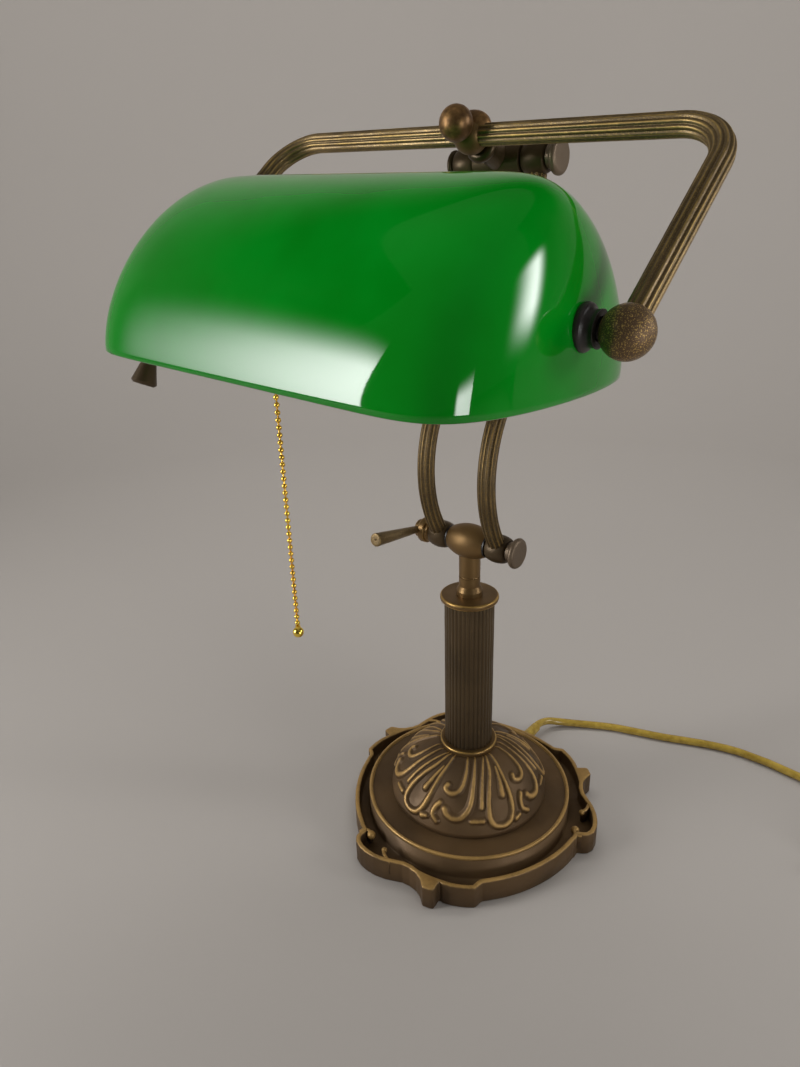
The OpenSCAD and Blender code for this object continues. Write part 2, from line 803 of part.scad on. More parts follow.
module collar() {
    color(worn_gold) translate([0, 0, collar_z]) difference() {
        union() {
            round_disc(collar_d, collar_h);
            translate([0, 0, -spigot_h]) cylinder(d = column_d - 2 * column_wall - 2 * slip, h = spigot_h + eps);
        }
        translate([0, 0, -spigot_h - 1]) cylinder(d = rod_d + 2 * slip, h = spigot_h + collar_h + 2);
    }
}

// Barrel that bulges to its middle, along X
module bulged_barrel() {
    sag = (barrel_d - barrel_end_d) / 2;
    bulge_r = (barrel_l * barrel_l / 4 + sag * sag) / (2 * sag);
    along_x() rotate_extrude() intersection() {
        translate([barrel_d / 2 - bulge_r, 0]) circle(r = bulge_r, $fn = 192);
        translate([0, -barrel_l / 2]) square([barrel_d, barrel_l]);
    }
}

module pivot_post() {
    flare_r = (stem_foot_d - stem_d) / 2;
    color(bronze) difference() {
        union() {
            translate([0, 0, collar_top]) cylinder(d = stem_foot_d, h = stem_foot_h);
            translate([0, 0, collar_top]) cylinder(d = stem_d, h = pivot_rise);
            translate([0, 0, collar_top + stem_foot_h]) cylinder(d1 = stem_foot_d, d2 = stem_d, h = 2 * flare_r);
            translate([0, 0, pivot_z]) bulged_barrel();
        }
        translate([0, 0, collar_top + groove_rise]) rotate_extrude()
            translate([stem_d / 2, 0]) circle(d = groove_w, $fn = 24);
        translate([0, 0, collar_top - 1]) cylinder(d = rod_d, h = rod_top - collar_top + 1);
        translate([0, 0, pivot_z]) bar_x(-barrel_l, barrel_l, bolt_d);
    }
}

// A bolt with a disc head on its right end
module disc_bolt(left_x) {
    bar_x(left_x, stack_x + neck_l, bolt_d);
    bar_x(stack_x, stack_x + neck_l, neck_d);
    translate([stack_x + neck_l, 0, 0]) along_x() round_disc(head_d, head_t);
}

module pivot_bolt() {
    color(worn_gold) translate([0, 0, pivot_z]) disc_bolt(-stack_x - lever_hub_l - flange_t);
}

module friction_washer(side) {
    color(black) translate([0, 0, pivot_z]) difference() {
        bar_x(side * washer_x, side * (washer_x + washer_t), washer_d);
        bar_x(0, side * 2 * washer_x, bolt_d + 2 * turn_fit);
    }
}

module friction_washer_left() {
    friction_washer(-1);
}

module friction_washer_right() {
    friction_washer(1);
}

module clamp_lever() {
    flange_x = -stack_x - lever_hub_l;
    cap_x = flange_x - flange_t;
    lever_x = cap_x - lever_cap_t / 2;
    color(bronze) translate([0, 0, pivot_z]) difference() {
        union() {
            bar_x(-stack_x, flange_x, lever_hub_d);
            bar_x(flange_x, cap_x, flange_d);
            translate([cap_x - lever_cap_t, 0, 0]) along_x() round_disc(lever_hub_d, lever_cap_t);
            bar_x(cap_x - lever_cap_t / 2, cap_x, lever_hub_d);
            translate([lever_x, 0, 0]) rotate([90 - lever_rise, 0, 0]) {
                cylinder(d1 = lever_root_d, d2 = lever_tip_d, h = lever_l);
                translate([0, 0, lever_l]) sphere(d = lever_tip_d);
            }
        }
        bar_x(cap_x - slip, 0, bolt_d + 2 * turn_fit);
    }
}

// Part of a tube bent in the YZ plane about a centre, between two angles
module bent_tube(centre, r, a0, a1) {
    translate([0, centre[0], centre[1]]) rotate([90, 0, 90]) rotate(a0)
        rotate_extrude(angle = a1 - a0) translate([r, 0]) children();
}

// One swan-neck arm: two reeded bends with a plain ferrule at each end, cut to seat the eyes
module arm(side) {
    low_bend = [low_bend_y, low_bend_rise];
    high_bend = [arm_back - high_bend_r, arm_rise];
    low_turn = ferrule_reach / low_bend_r * 180 / PI;
    high_turn = ferrule_reach / high_bend_r * 180 / PI;
    color(bronze) translate([side * arm_x, 0, pivot_z]) {
        bent_tube(low_bend, low_bend_r, 180 - bend_turn, 180 + bend_start - low_turn) reeds();
        bent_tube(high_bend, high_bend_r, -bend_turn, -high_turn) reeds();
        difference() {
            bent_tube(low_bend, low_bend_r, 180 + bend_start - low_turn, 180 + bend_start) circle(d = ferrule_d);
            bar_x(-eye_l, eye_l, eye_d);
        }
        difference() {
            bent_tube(high_bend, high_bend_r, -high_turn, 0) circle(d = ferrule_d);
            translate([0, arm_back, arm_rise]) bar_x(-eye_l, eye_l, eye_d);
        }
    }
}

module arm_left() {
    arm(-1);
}

module arm_right() {
    arm(1);
}

// An eye at the end of an arm, bored for its bolt
module arm_eye(side, bore_d) {
    color(bronze) difference() {
        bar_x(side * eye_x, side * (eye_x + eye_l), eye_d);
        bar_x(0, side * 2 * (eye_x + eye_l), bore_d);
    }
}

module lower_eye_left() {
    translate([0, 0, pivot_z]) arm_eye(-1, bolt_d + 2 * turn_fit);
}

module lower_eye_right() {
    translate([0, 0, pivot_z]) arm_eye(1, bolt_d + 2 * turn_fit);
}

module upper_eye_left() {
    translate([0, arm_back, head_z]) arm_eye(-1, bolt_d);
}

module upper_eye_right() {
    translate([0, arm_back, head_z]) arm_eye(1, bolt_d);
}

module head_bolt() {
    color(worn_gold) translate([0, arm_back, head_z]) disc_bolt(-stack_x - neck_l);
}

module head_nut() {
    color(bronze) translate([0, arm_back, head_z]) difference() {
        translate([-stack_x - neck_l, 0, 0]) along_x() round_disc(head_d - neck_l, neck_l);
        bar_x(-stack_x - neck_l - 1, 0, bolt_d);
    }
}

module head_block() {
    color(bronze) difference() {
        union() {
            translate([0, arm_back, head_z]) bar_x(-washer_x - washer_t, washer_x + washer_t, head_barrel_d);
            along_hub() translate([0, 0, -hub_reach]) cylinder(d = boss_d, h = hub_reach - boss_start);
            along_hub() translate([0, 0, -boss_start - boss_collar_t])
                round_collar(boss_collar_d, boss_collar_t);
        }
        translate([0, arm_back, head_z]) bar_x(-barrel_l, barrel_l, bolt_d + 2 * turn_fit);
        along_hub() translate([0, 0, -hub_reach + head_barrel_d / 2]) cylinder(d = hub_bolt_d, h = hub_reach);
    }
}

module hub_bolt() {
    color(iron) along_hub() translate([0, 0, -hub_reach + head_barrel_d / 2])
        cylinder(d = hub_bolt_d, h = hub_reach - head_barrel_d / 2 + cap_centre);
}

module hub_cap() {
    color(worn_gold) along_hub() difference() {
        translate([0, 0, cap_centre]) sphere(d = cap_d);
        translate([0, 0, boss_start - cap_d]) cylinder(d = 2 * cap_d, h = cap_d);
        cylinder(d = hub_bolt_d, h = cap_centre);
    }
}

// The bolt's path through the hub and the yoke's bar
module hub_bolt_path() {
    along_hub() translate([0, 0, -hub_d]) cylinder(d = hub_bolt_d + 2 * turn_fit, h = 2 * hub_d);
}

module hub_ball() {
    color(worn_gold) difference() {
        along_hub() intersection() {
            sphere(d = hub_d);
            translate([0, 0, -hub_flat]) cylinder(d = 2 * hub_d, h = 2 * hub_flat);
        }
        at_hub() bar_x(-hub_d, hub_d, tube_d);
        hub_bolt_path();
    }
}

module yoke_bow() {
    bar_l = 2 * (leg_x - bend_r);
    color(bronze) difference() {
        at_hub() rotate([yoke_drop, 0, 0]) {
            along_x() linear_extrude(bar_l, center = true) reeds();
            for (side = [0, 1]) mirror([side, 0, 0]) {
                translate([leg_x - bend_r, -bend_r, 0]) rotate_extrude(angle = 90)
                    translate([bend_r, 0]) reeds();
                translate([leg_x, -bend_r, 0]) rotate([90, 0, 0])
                    linear_extrude(leg_l - bend_r - leg_seat) reeds();
            }
        }
        hub_bolt_path();
    }
}

// A ball at the end of a leg, bored for the leg and the pivot pin
module yoke_ball(side) {
    color(worn_gold) at_axis() difference() {
        translate([side * leg_x, 0, 0]) rotate([yoke_drop - 90, 0, 0]) difference() {
            sphere(d = ball_d);
            translate([0, 0, leg_seat]) cylinder(d = tube_d, h = ball_d);
        }
        bar_x(0, side * pin_x, pin_d);
        if (side < 0) bar_x(-leg_x - ball_d, -leg_x - ball_d / 2 + handle_axle_l, handle_axle_d + 2 * turn_fit);
    }
}

module yoke_ball_left() {
    yoke_ball(-1);
}

module yoke_ball_right() {
    yoke_ball(1);
}

// A pin that the shade turns on
module pivot_pin(side) {
    color(iron) at_axis() bar_x(side * pin_end, side * pin_x, pin_d);
}

module pivot_pin_left() {
    pivot_pin(-1);
}

module pivot_pin_right() {
    pivot_pin(1);
}

module pin_nut() {
    color(iron) at_axis() difference() {
        bar_x(pin_end, pin_end + pin_nut_t, pin_nut_d);
        bar_x(pin_end - 1, pin_end + pin_nut_t + 1, pin_d);
    }
}

// Half cross-section of the loaf along its axis: a straight body, round corners and bulged ends
module loaf_profile(inset) {
    past_corner = corner_at + (corner_at - [0, end_c]) / 2;
    for (side = [0, 1]) mirror([0, side]) {
        square([shade_r - inset, corner_at[1]]);
        translate(corner_at) circle(r = shade_corner_r - inset);
        intersection() {
            translate([0, end_c]) circle(r = shade_end_r - inset);
            polygon([[0, 0], corner_at, past_corner, [0, shade_l]]);
        }
    }
}

module shade_glass() {
    seat_d = bush_flange_d + 2 * bush_gap;
    inner_seat_d = bush_nut_d + 2 * bush_gap;
    color(green) at_shade() difference() {
        rotate([90, 0, 90]) rotate_extrude(angle = 180, $fn = 192) difference() {
            loaf_profile(0);
            loaf_profile(glass_t);
        }
        translate([0, 0, rim_drop]) {
            bar_x(-shade_l, shade_l, bush_d + 2 * bush_gap);
            bar_x(-inner_seat_x, inner_seat_x, inner_seat_d);
            for (side = [-1, 1]) bar_x(side * seat_x, side * shade_l, seat_d);
        }
    }
}

// A bush between the glass and its pin
module bush(side) {
    color(black) at_shade() translate([0, 0, rim_drop]) difference() {
        union() {
            bar_x(side * (inner_seat_x - bush_nut_t), side * bush_end, bush_d);
            bar_x(side * seat_x, side * (seat_x + bush_flange_t), bush_flange_d);
        }
        bar_x(0, side * (bush_end + 1), bush_bore);
    }
}

module bush_left() {
    bush(-1);
}

module bush_right() {
    bush(1);
}

// A nut that clamps a bush to the inside of the glass
module bush_nut(side) {
    color(black) at_shade() translate([0, 0, rim_drop]) difference() {
        bar_x(side * (inner_seat_x - bush_nut_t), side * inner_seat_x, bush_nut_d);
        bar_x(0, side * glass_x, bush_d);
    }
}

module bush_nut_left() {
    bush_nut(-1);
}

module bush_nut_right() {
    bush_nut(1);
}

module shade_handle() {
    hub_x = -leg_x - ball_d / 2 - side_gap;
    color(worn_gold) at_axis() union() {
        bar_x(hub_x + side_gap + handle_axle_l - slip, hub_x - handle_hub_t, handle_axle_d);
        translate([hub_x - handle_hub_t, 0, 0]) along_x() round_disc(handle_hub_d, handle_hub_t);
        translate([hub_x - handle_hub_t / 2, 0, 0]) rotate([180 - handle_slant, 0, 0]) {
            cylinder(d = handle_d, h = handle_l);
            translate([0, 0, handle_l + knob_past - knob_l])
                cylinder(d1 = knob_neck_d, d2 = knob_wide_d, h = knob_l - knob_edge);
            translate([0, 0, handle_l + knob_past - knob_edge])
                cylinder(d1 = knob_wide_d, d2 = knob_wide_d - 2 * knob_edge, h = knob_edge);
        }
    }
}

module holder_cap() {
    crown = holder_cap_l / 2;
    color(worn_gold) at_axis() difference() {
        translate([holder_x, 0, 0]) along_x() difference() {
            rotate_extrude() {
                square([holder_d / 2 - crown, holder_cap_l]);
                translate([0, crown]) square([holder_d / 2, holder_cap_l - crown]);
                translate([holder_d / 2 - crown, crown]) intersection() {
                    circle(r = crown);
                    translate([0, -crown]) square(crown);
                }
            }
            translate([0, 0, crown]) cylinder(d = holder_d - 2 * holder_wall - crown / 2, h = holder_cap_l);
        }
        bar_x(-leg_x, holder_x + holder_cap_l, pin_d);
    }
}

module holder_shell() {
    color(worn_gold) at_axis() difference() {
        bar_x(shell_x, shell_end, holder_d);
        bar_x(shell_x - 1, shell_end + 1, holder_d - 2 * holder_wall);
        translate([switch_x, 0, -holder_d]) cylinder(d = link_d + 2 * turn_fit + 1, h = holder_d);
    }
}

module holder_insert() {
    color(white) at_axis() difference() {
        bar_x(shell_x, shell_end, holder_d - 2 * holder_wall - 2 * slip);
        bar_x(bulb_x - bulb_cap_l, shell_end + 1, bulb_cap_d + 2 * bulb_fit);
        translate([switch_x, 0, -holder_d]) cylinder(d = link_d + 2 * turn_fit + 1, h = holder_d);
    }
}

module bulb_cap() {
    tip_d = bulb_cap_d / 2;
    color(iron) at_axis() {
        bar_x(bulb_x - bulb_cap_l + 3, bulb_x, bulb_cap_d);
        translate([bulb_x - bulb_cap_l, 0, 0]) along_x() cylinder(d1 = tip_d, d2 = bulb_cap_d, h = 3);
    }
}

module bulb_glass() {
    ball_x = bulb_l - bulb_d / 2;
    color(opal) at_axis() translate([bulb_x, 0, 0]) along_x() rotate_extrude() intersection() {
        union() {
            translate([0, ball_x]) circle(d = bulb_d);
            polygon([
                [0, 0],
                [bulb_cap_d / 2, 0],
                [bulb_d / 2 * cos(30), ball_x - bulb_d / 2 * sin(30)],
                [0, ball_x]
            ]);
        }
        square([bulb_d, bulb_l]);
    }
}

module switch_bell() {
    color(bright_brass) at_axis() difference() {
        translate([switch_x, 0, -bell_drop]) rotate_extrude() {
            square([bell_d / 2 - 1, bell_drop]);
            square([bell_d / 2, 2]);
            translate([0, bell_drop - holder_d / 2 - 2]) square([bell_d / 2, holder_d / 2]);
        }
        bar_x(-leg_x, leg_x, holder_d + 2 * slip);
        translate([switch_x, 0, -bell_drop - 1]) cylinder(d = link_d + 2 * turn_fit, h = bell_drop + 1);
    }
}

module switch_link() {
    link_top = holder_d / 2 - holder_wall;
    color(bright_brass) at_axis() translate([switch_x, 0, link_z]) {
        cylinder(d = link_d, h = -link_z - link_top + 2 - pull_travel / 4);
        sphere(d = link_ball_d);
    }
}

module pull_chain() {
    first = link_ball_d / 2 + bead_d / 2 + side_gap;
    color(bright_brass) translate(link_at) union() {
        for (i = [0 : bead_n - 1]) translate([0, 0, -first - i * bead_pitch]) sphere(d = bead_d, $fn = 24);
        translate([0, 0, -first - chain_l]) cylinder(d = wire_d, h = chain_l);
    }
}

module chain_ball() {
    first = link_ball_d / 2 + bead_d / 2 + side_gap;
    color(bright_brass) translate(link_at + [0, 0, -first - chain_l - chain_ball_d / 2 + bead_pitch / 4])
        difference() {
            union() {
                sphere(d = chain_ball_d);
                cylinder(d = bead_d, h = chain_ball_d / 2 + bead_pitch / 4);
            }
            translate([0, 0, chain_ball_d / 2 - bead_pitch / 4]) cylinder(d = wire_d, h = chain_ball_d);
        }
}

module cord_gland() {
    color(worn_gold) translate([0, 0, outlet_z]) rotate([-90, 0, 0]) {
        translate([0, 0, hollow_r]) cylinder(d = sleeve_d, h = foot_r - hollow_r);
        translate([0, 0, foot_r]) cylinder(d = outlet_flange_d, h = outlet_flange_t);
        translate([0, 0, foot_r]) cylinder(d1 = sleeve_d, d2 = outlet_tip_d, h = outlet_l);
    }
}

// Direction of travel at each point of a path
function headings(path) = [
    for (i = [0 : len(path) - 1])
        unit(path[min(i + 1, len(path) - 1)] - path[max(i - 1, 0)])
];

// Rings of a tube round a path whose run stays nearly level
function tube_points(path, r, sides) = [
    for (i = [0 : len(path) - 1])
        let (ahead = headings(path)[i], across = unit(cross(ahead, [0, 0, 1])), up = cross(across, ahead))
        for (k = [0 : sides - 1])
            path[i] + r * (cos((k + 0.5) * 360 / sides) * across + sin((k + 0.5) * 360 / sides) * up)
];

// Triangles of a tube with closed ends
function tube_faces(rings, sides) = concat(
    [for (k = [1 : sides - 2]) [0, k, k + 1]],
    [for (k = [1 : sides - 2]) let (e = (rings - 1) * sides) [e, e + k + 1, e + k]],
    [for (i = [0 : rings - 2], k = [0 : sides - 1])
        let (n = (k + 1) % sides, a = i * sides, b = a + sides)
        each [[a + k, b + k, b + n], [a + k, b + n, a + n]]]
);

module tube(path, d, sides) {
    polyhedron(tube_points(path, d / 2, sides), tube_faces(len(path), sides));
}

// The coil's middle line at a step of its turns, clockwise from its far side
function coil_point(step) =
    let (turn = step / coil_steps, climb = max(0, min(1, (turn - coil_in_turns) / coil_climb_turns)))
    let (r = coil_r + coil_pitch * abs(turn - coil_mid_turn), a = 90 - 360 * turn)
    [coil_at[0] + r * cos(a), coil_at[1] + r * sin(a), coil_z + coil_pitch * climb];

coil_run = [for (i = [0 : coil_last]) coil_point(i)];
coil_lead = [coil_at[0] - cord_d, coil_top_y, coil_z];
coil_tail = [
    coil_run[coil_last] + [0, -10, -1.6],
    [plug_at[0], plug_at[1] + plug_neck_l, plug_t / 2],
    [plug_at[0], plug_at[1] + plug_neck_l - cord_d, plug_t / 2]
];

// Least gap of the coil to itself, between points at least half a turn apart
coil_gap = min([
    for (i = [0 : coil_last], j = [i + coil_steps / 2 : 1 : coil_last])
        norm(coil_run[i] - coil_run[j])
]) - cord_d;
echo(coil_gap = coil_gap);

module cord() {
    color(cord_gold) tube(cord_route, cord_d, 10);
}

module cord_coil() {
    color(cord_gold) tube(concat([coil_lead], coil_run, coil_tail), cord_d, coil_sides);
}

module coil_tie() {
    inner = coil_r - cord_d / 2 - coil_pitch / 2;
    outer = coil_end_r + cord_d / 2 + coil_pitch / 2;
    top = coil_z + coil_pitch + cord_d / 2 + tie_gap;
    color(black) translate([coil_at[0], coil_at[1], 0]) rotate(tie_turn) difference() {
        translate([inner - tie_t, -tie_w / 2, 0]) cube([outer - inner + 2 * tie_t, tie_w, top + tie_t]);
        translate([inner, -tie_w, tie_t]) cube([outer - inner, 2 * tie_w, top - tie_t]);
    }
}

module plug_body() {
    nose = plug_w * 0.28;
    color(cord_gold) translate([plug_at[0], plug_at[1], 0]) difference() {
        union() {
            linear_extrude(plug_t) polygon([
                [-nose / 2, 0],
                [nose / 2, 0],
                [plug_w / 2, -plug_l * 0.55],
                [plug_w / 2, -plug_l],
                [-plug_w / 2, -plug_l],
                [-plug_w / 2, -plug_l * 0.55]
            ]);
            translate([0, 0, plug_t / 2]) rotate([-90, 0, 0])
                cylinder(d1 = nose, d2 = cord_d + 2, h = plug_neck_l - cord_d);
        }
        for (side = [-1, 1]) translate([side * plug_pin_gap / 2, -plug_l + plug_pin_l / 3, plug_t / 2])
            rotate([90, 0, 0]) cylinder(d = plug_pin_d, h = plug_pin_l);
    }
}

module plug_pins() {
    color(iron) for (side = [-1, 1])
        translate([plug_at[0] + side * plug_pin_gap / 2, plug_at[1] - plug_l + plug_pin_l / 3, plug_t / 2])
            rotate([90, 0, 0]) cylinder(d = plug_pin_d, h = plug_pin_l * 4 / 3);
}

foot_casting();
leaf_dome();
foot_weight();
bottom_cover();
felt_pad();
tie_rod();
tie_nut();
column_ring();
column();
collar();
pivot_post();
pivot_bolt();
friction_washer_left();
friction_washer_right();
clamp_lever();
arm_left();
arm_right();
lower_eye_left();
lower_eye_right();
upper_eye_left();
upper_eye_right();
head_bolt();
head_nut();
head_block();
hub_bolt();
hub_cap();
hub_ball();
yoke_bow();
yoke_ball_left();
yoke_ball_right();
pivot_pin_left();
pivot_pin_right();
pin_nut();
shade_glass();
bush_left();
bush_right();
bush_nut_left();
bush_nut_right();
shade_handle();
holder_cap();
holder_shell();
holder_insert();
bulb_cap();
bulb_glass();
switch_bell();
switch_link();
pull_chain();
chain_ball();
cord_gland();
cord();
cord_coil();
coil_tie();
plug_body();
plug_pins();
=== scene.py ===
"""Dresses a bankers lamp: cast foot, fluted column, swan-neck arms, yoke, glass shade, chain and cord."""
import logging
import math
from dataclasses import dataclass
from enum import Enum
from typing import ClassVar

import bmesh
import bpy
import numpy as np
from mathutils import Matrix, Vector


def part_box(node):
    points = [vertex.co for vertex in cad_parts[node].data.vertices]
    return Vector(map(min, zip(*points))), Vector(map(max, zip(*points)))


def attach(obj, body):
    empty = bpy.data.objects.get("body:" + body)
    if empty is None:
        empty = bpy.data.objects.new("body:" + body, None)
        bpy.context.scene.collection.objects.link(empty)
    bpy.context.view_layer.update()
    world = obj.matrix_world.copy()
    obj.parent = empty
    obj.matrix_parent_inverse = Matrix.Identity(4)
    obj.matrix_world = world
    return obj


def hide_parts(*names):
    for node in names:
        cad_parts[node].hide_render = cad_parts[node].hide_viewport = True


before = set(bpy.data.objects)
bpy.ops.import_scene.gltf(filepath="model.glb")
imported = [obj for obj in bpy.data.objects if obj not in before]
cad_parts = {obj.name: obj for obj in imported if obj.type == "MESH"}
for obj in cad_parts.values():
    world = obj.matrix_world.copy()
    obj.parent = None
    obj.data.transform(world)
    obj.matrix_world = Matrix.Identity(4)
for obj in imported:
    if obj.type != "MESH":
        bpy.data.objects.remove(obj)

LOG = logging.getLogger("bankers_lamp")
MM = 0.001
# Points closer than this, in metres, are one point
WELD = 1e-7
# Radius, in millimetres, of a turned piece's points that lie on its axis
ON_AXIS = 0.01
# Largest share of an edge that the rounding of a corner takes up
CORNER_SHARE = 0.45
# Attribute that says how much each point is rubbed
WEAR = "wear"
UP = (0.0, 0.0, 1.0)
Colour = tuple[float, float, float]
Point = tuple[float, float, float]
Spot = tuple[float, float]
Profile = list[tuple[float, float, float]]
Face = tuple[int, ...]


class Side(Enum):
    """The lamp's two sides, as the sign of X."""

    LEFT = -1
    RIGHT = 1

    @property
    def word(self) -> str:
        """The side's name in the names of the pieces."""
        return self.name.lower()


def srgb(*screen: int) -> Colour:
    """A colour given in screen values from 0 to 255, as linear light.

    Args:
        screen: Red, green and blue of the screen colour.

    Returns:
        The three linear values, by the sRGB standard's curve.
    """
    shares = [value / 255 for value in screen]
    return tuple(share / 12.92 if share <= 0.04045 else ((share + 0.055) / 1.055) ** 2.4 for share in shares)


def polar(reach: np.ndarray | float, turns: np.ndarray, height: np.ndarray | float) -> np.ndarray:
    """Points about Z, from their reach, direction and height.

    Args:
        reach: Distance of the points from Z.
        turns: Directions of the points, in radians.
        height: Height of the points.

    Returns:
        The points, with x, y and z along the last axis.
    """
    reach, turns, height = np.broadcast_arrays(reach, turns, height)
    return np.stack([reach * np.cos(turns), reach * np.sin(turns), height], -1)


def full_turn(count: int) -> np.ndarray:
    """Evenly spread directions all the way round, in radians."""
    return np.linspace(0, 2 * np.pi, count, endpoint=False)


def unit(rows: np.ndarray) -> np.ndarray:
    """Rows of vectors, each scaled to length 1."""
    return rows / np.linalg.norm(rows, axis=1)[:, None]


def put(points: np.ndarray, place: Matrix) -> np.ndarray:
    """Points moved from a place's own frame into the lamp's."""
    return points @ np.array(place.to_3x3()).T + np.array(place.translation)


def smooth_path(points: np.ndarray, parts: int = 3) -> np.ndarray:
    """Puts points between those of a path, on a smooth curve through them.

    Args:
        points: The path's own points.
        parts: Number of steps from one point to the next.

    Returns:
        The finer path.
    """
    padded = np.vstack([2 * points[0] - points[1], points, 2 * points[-1] - points[-2]])
    fine = []
    for index in range(1, len(padded) - 2):
        before, start, end, after = padded[index - 1:index + 3]
        for step in range(parts):
            share = step / parts
            slope = (end - before) * share
            bend = (2 * before - 5 * start + 4 * end - after) * share ** 2
            twist = (3 * start - 3 * end + after - before) * share ** 3
            fine.append(0.5 * (2 * start + slope + bend + twist))
    fine.append(points[-1])
    return np.array(fine)


def link(name: str, data: bpy.types.ID) -> bpy.types.Object:
    """Makes an object and links it to the scene.

    Args:
        name: Name of the object.
        data: Its mesh, light or camera.

    Returns:
        The new object.
    """
    made = bpy.data.objects.new(name, data)
    bpy.context.scene.collection.objects.link(made)
    return made


def face_outward(mesh: bpy.types.Mesh, weld: bool) -> None:
    """Turns the faces of a closed mesh outward.

    Args:
        mesh: The mesh.
        weld: Whether points in one place are joined and the faces made to agree first.
    """
    work = bmesh.new()
    work.from_mesh(mesh)
    if weld:
        bmesh.ops.remove_doubles(work, verts=work.verts, dist=WELD)
        bmesh.ops.recalc_face_normals(work, faces=work.faces)
    if work.calc_volume(signed=True) < 0:
        bmesh.ops.reverse_faces(work, faces=work.faces)
    work.to_mesh(mesh)
    work.free()


def keep_result(piece: bpy.types.Object, modifier: bpy.types.Modifier) -> None:
    """Runs a piece's modifier and keeps the result as its plain mesh.

    Args:
        piece: The piece.
        modifier: The modifier, which is removed.
    """
    graph = bpy.context.evaluated_depsgraph_get()
    mesh = bpy.data.meshes.new_from_object(piece.evaluated_get(graph), depsgraph=graph)
    piece.modifiers.remove(modifier)
    piece.data = mesh


def mesh_object(name: str, points: np.ndarray, faces: list[Face], wear: np.ndarray | None = None,
                uv: np.ndarray | None = None) -> bpy.types.Object:
    """Makes a smooth, closed, outward-facing mesh object from points in millimetres.

    Args:
        name: Name of the piece.
        points: Rows of x, y, z in millimetres.
        faces: Corner numbers of each face.
        wear: How much each point is rubbed, from 0 to 1.
        uv: Texture place of each point.

    Returns:
        The new object, linked to the scene.
    """
    mesh = bpy.data.meshes.new(name)
    mesh.from_pydata((points * MM).tolist(), [], faces)
    if wear is not None:
        rubbed = mesh.attributes.new(WEAR, "FLOAT", "POINT")
        rubbed.data.foreach_set("value", np.asarray(wear, dtype=np.float32))
    if uv is not None:
        corners = np.empty(len(mesh.loops), dtype=np.int32)
        mesh.loops.foreach_get("vertex_index", corners)
        layer = mesh.uv_layers.new(name="along")
        layer.data.foreach_set("uv", np.asarray(uv, dtype=np.float32)[corners].ravel())
    face_outward(mesh, weld=True)
    mesh.shade_smooth()
    return link(name, mesh)


def grid_faces(rows: int, columns: int, close_rows: bool = False, close_columns: bool = True) -> list[Face]:
    """Lists the four-cornered faces of a grid of points.

    Args:
        rows: Number of rows of points.
        columns: Number of points in a row.
        close_rows: Whether the last row joins the first.
        close_columns: Whether the last column joins the first.

    Returns:
        The corner numbers of each face.
    """
    faces = []
    for row in range(rows if close_rows else rows - 1):
        below = row * columns
        above = (row + 1) % rows * columns
        for column in range(columns if close_columns else columns - 1):
            beside = (column + 1) % columns
            faces.append((below + column, below + beside, above + beside, above + column))
    return faces


def turned(name: str, profile: Profile, place: Matrix, sides: int = 96) -> bpy.types.Object:
    """Turns a closed profile about Z, as on a lathe, and puts it in its place.

    Args:
        name: Name of the piece.
        profile: Radius, height and wear of each point of the closed outline, in millimetres.
        place: Where the piece's own frame stands, in millimetres.
        sides: Number of points round the axis.

    Returns:
        The new object.
    """
    outline = np.array(profile)
    points = polar(outline[:, :1], full_turn(sides), outline[:, 1:2]).reshape(-1, 3)
    wear = np.repeat(outline[:, 2], sides)
    return mesh_object(name, put(points, place), grid_faces(len(outline), sides, close_rows=True), wear)


def rounded(profile: tuple[Spot, ...], radius: float, steps: int = 5) -> Profile:
    """Rounds the corners of a closed outline and marks those off the axis as rubbed.

    Args:
        profile: Radius and height of each corner.
        radius: Radius of the rounding.
        steps: Number of points on each rounded corner.

    Returns:
        Radius, height and wear of each point of the rounded outline.
    """
    corners = [Vector(corner) for corner in profile]
    outline = []
    for index, corner in enumerate(corners):
        before = corners[index - 1] - corner
        after = corners[(index + 1) % len(corners)] - corner
        reach = min(radius, before.length * CORNER_SHARE, after.length * CORNER_SHARE)
        start = corner + before.normalized() * reach
        end = corner + after.normalized() * reach
        for step in range(steps):
            share = step / (steps - 1)
            point = start.lerp(corner, share).lerp(corner.lerp(end, share), share)
            wear = math.sin(math.pi * share) if corner.x > ON_AXIS else 0.0
            outline.append((point.x, point.y, wear))
    return outline


def ball_profile(radius: float, steps: int = 16) -> Profile:
    """Outline of a rubbed ball, to be turned."""
    angles = np.linspace(-math.pi / 2, math.pi / 2, steps)
    return [(max(radius * math.cos(angle), ON_AXIS), radius * math.sin(angle), 1.0) for angle in angles]


def swept(name: str, path: np.ndarray, section: np.ndarray, wear: np.ndarray | None = None,
          uv: np.ndarray | None = None) -> bpy.types.Object:
    """Sweeps a closed section along a path, without letting it roll, and closes both ends.

    Args:
        name: Name of the piece.
        path: Points of the middle line, in millimetres.
        section: Across and up of each point of the section.
        wear: Wear of each point, ring by ring.
        uv: Texture place of each point, ring by ring.

    Returns:
        The new object.
    """
    ahead = unit(np.gradient(path, axis=0))
    across = unit(np.cross(ahead, UP))
    up = np.cross(across, ahead)
    rings = path[:, None] + section[None, :, :1] * across[:, None] + section[None, :, 1:] * up[:, None]
    points = rings.reshape(-1, 3)
    sides = len(section)
    faces = grid_faces(len(path), sides)
    faces.append(tuple(range(sides)))
    faces.append(tuple(len(points) - 1 - side for side in range(sides)))
    return mesh_object(name, points, faces, wear, uv)


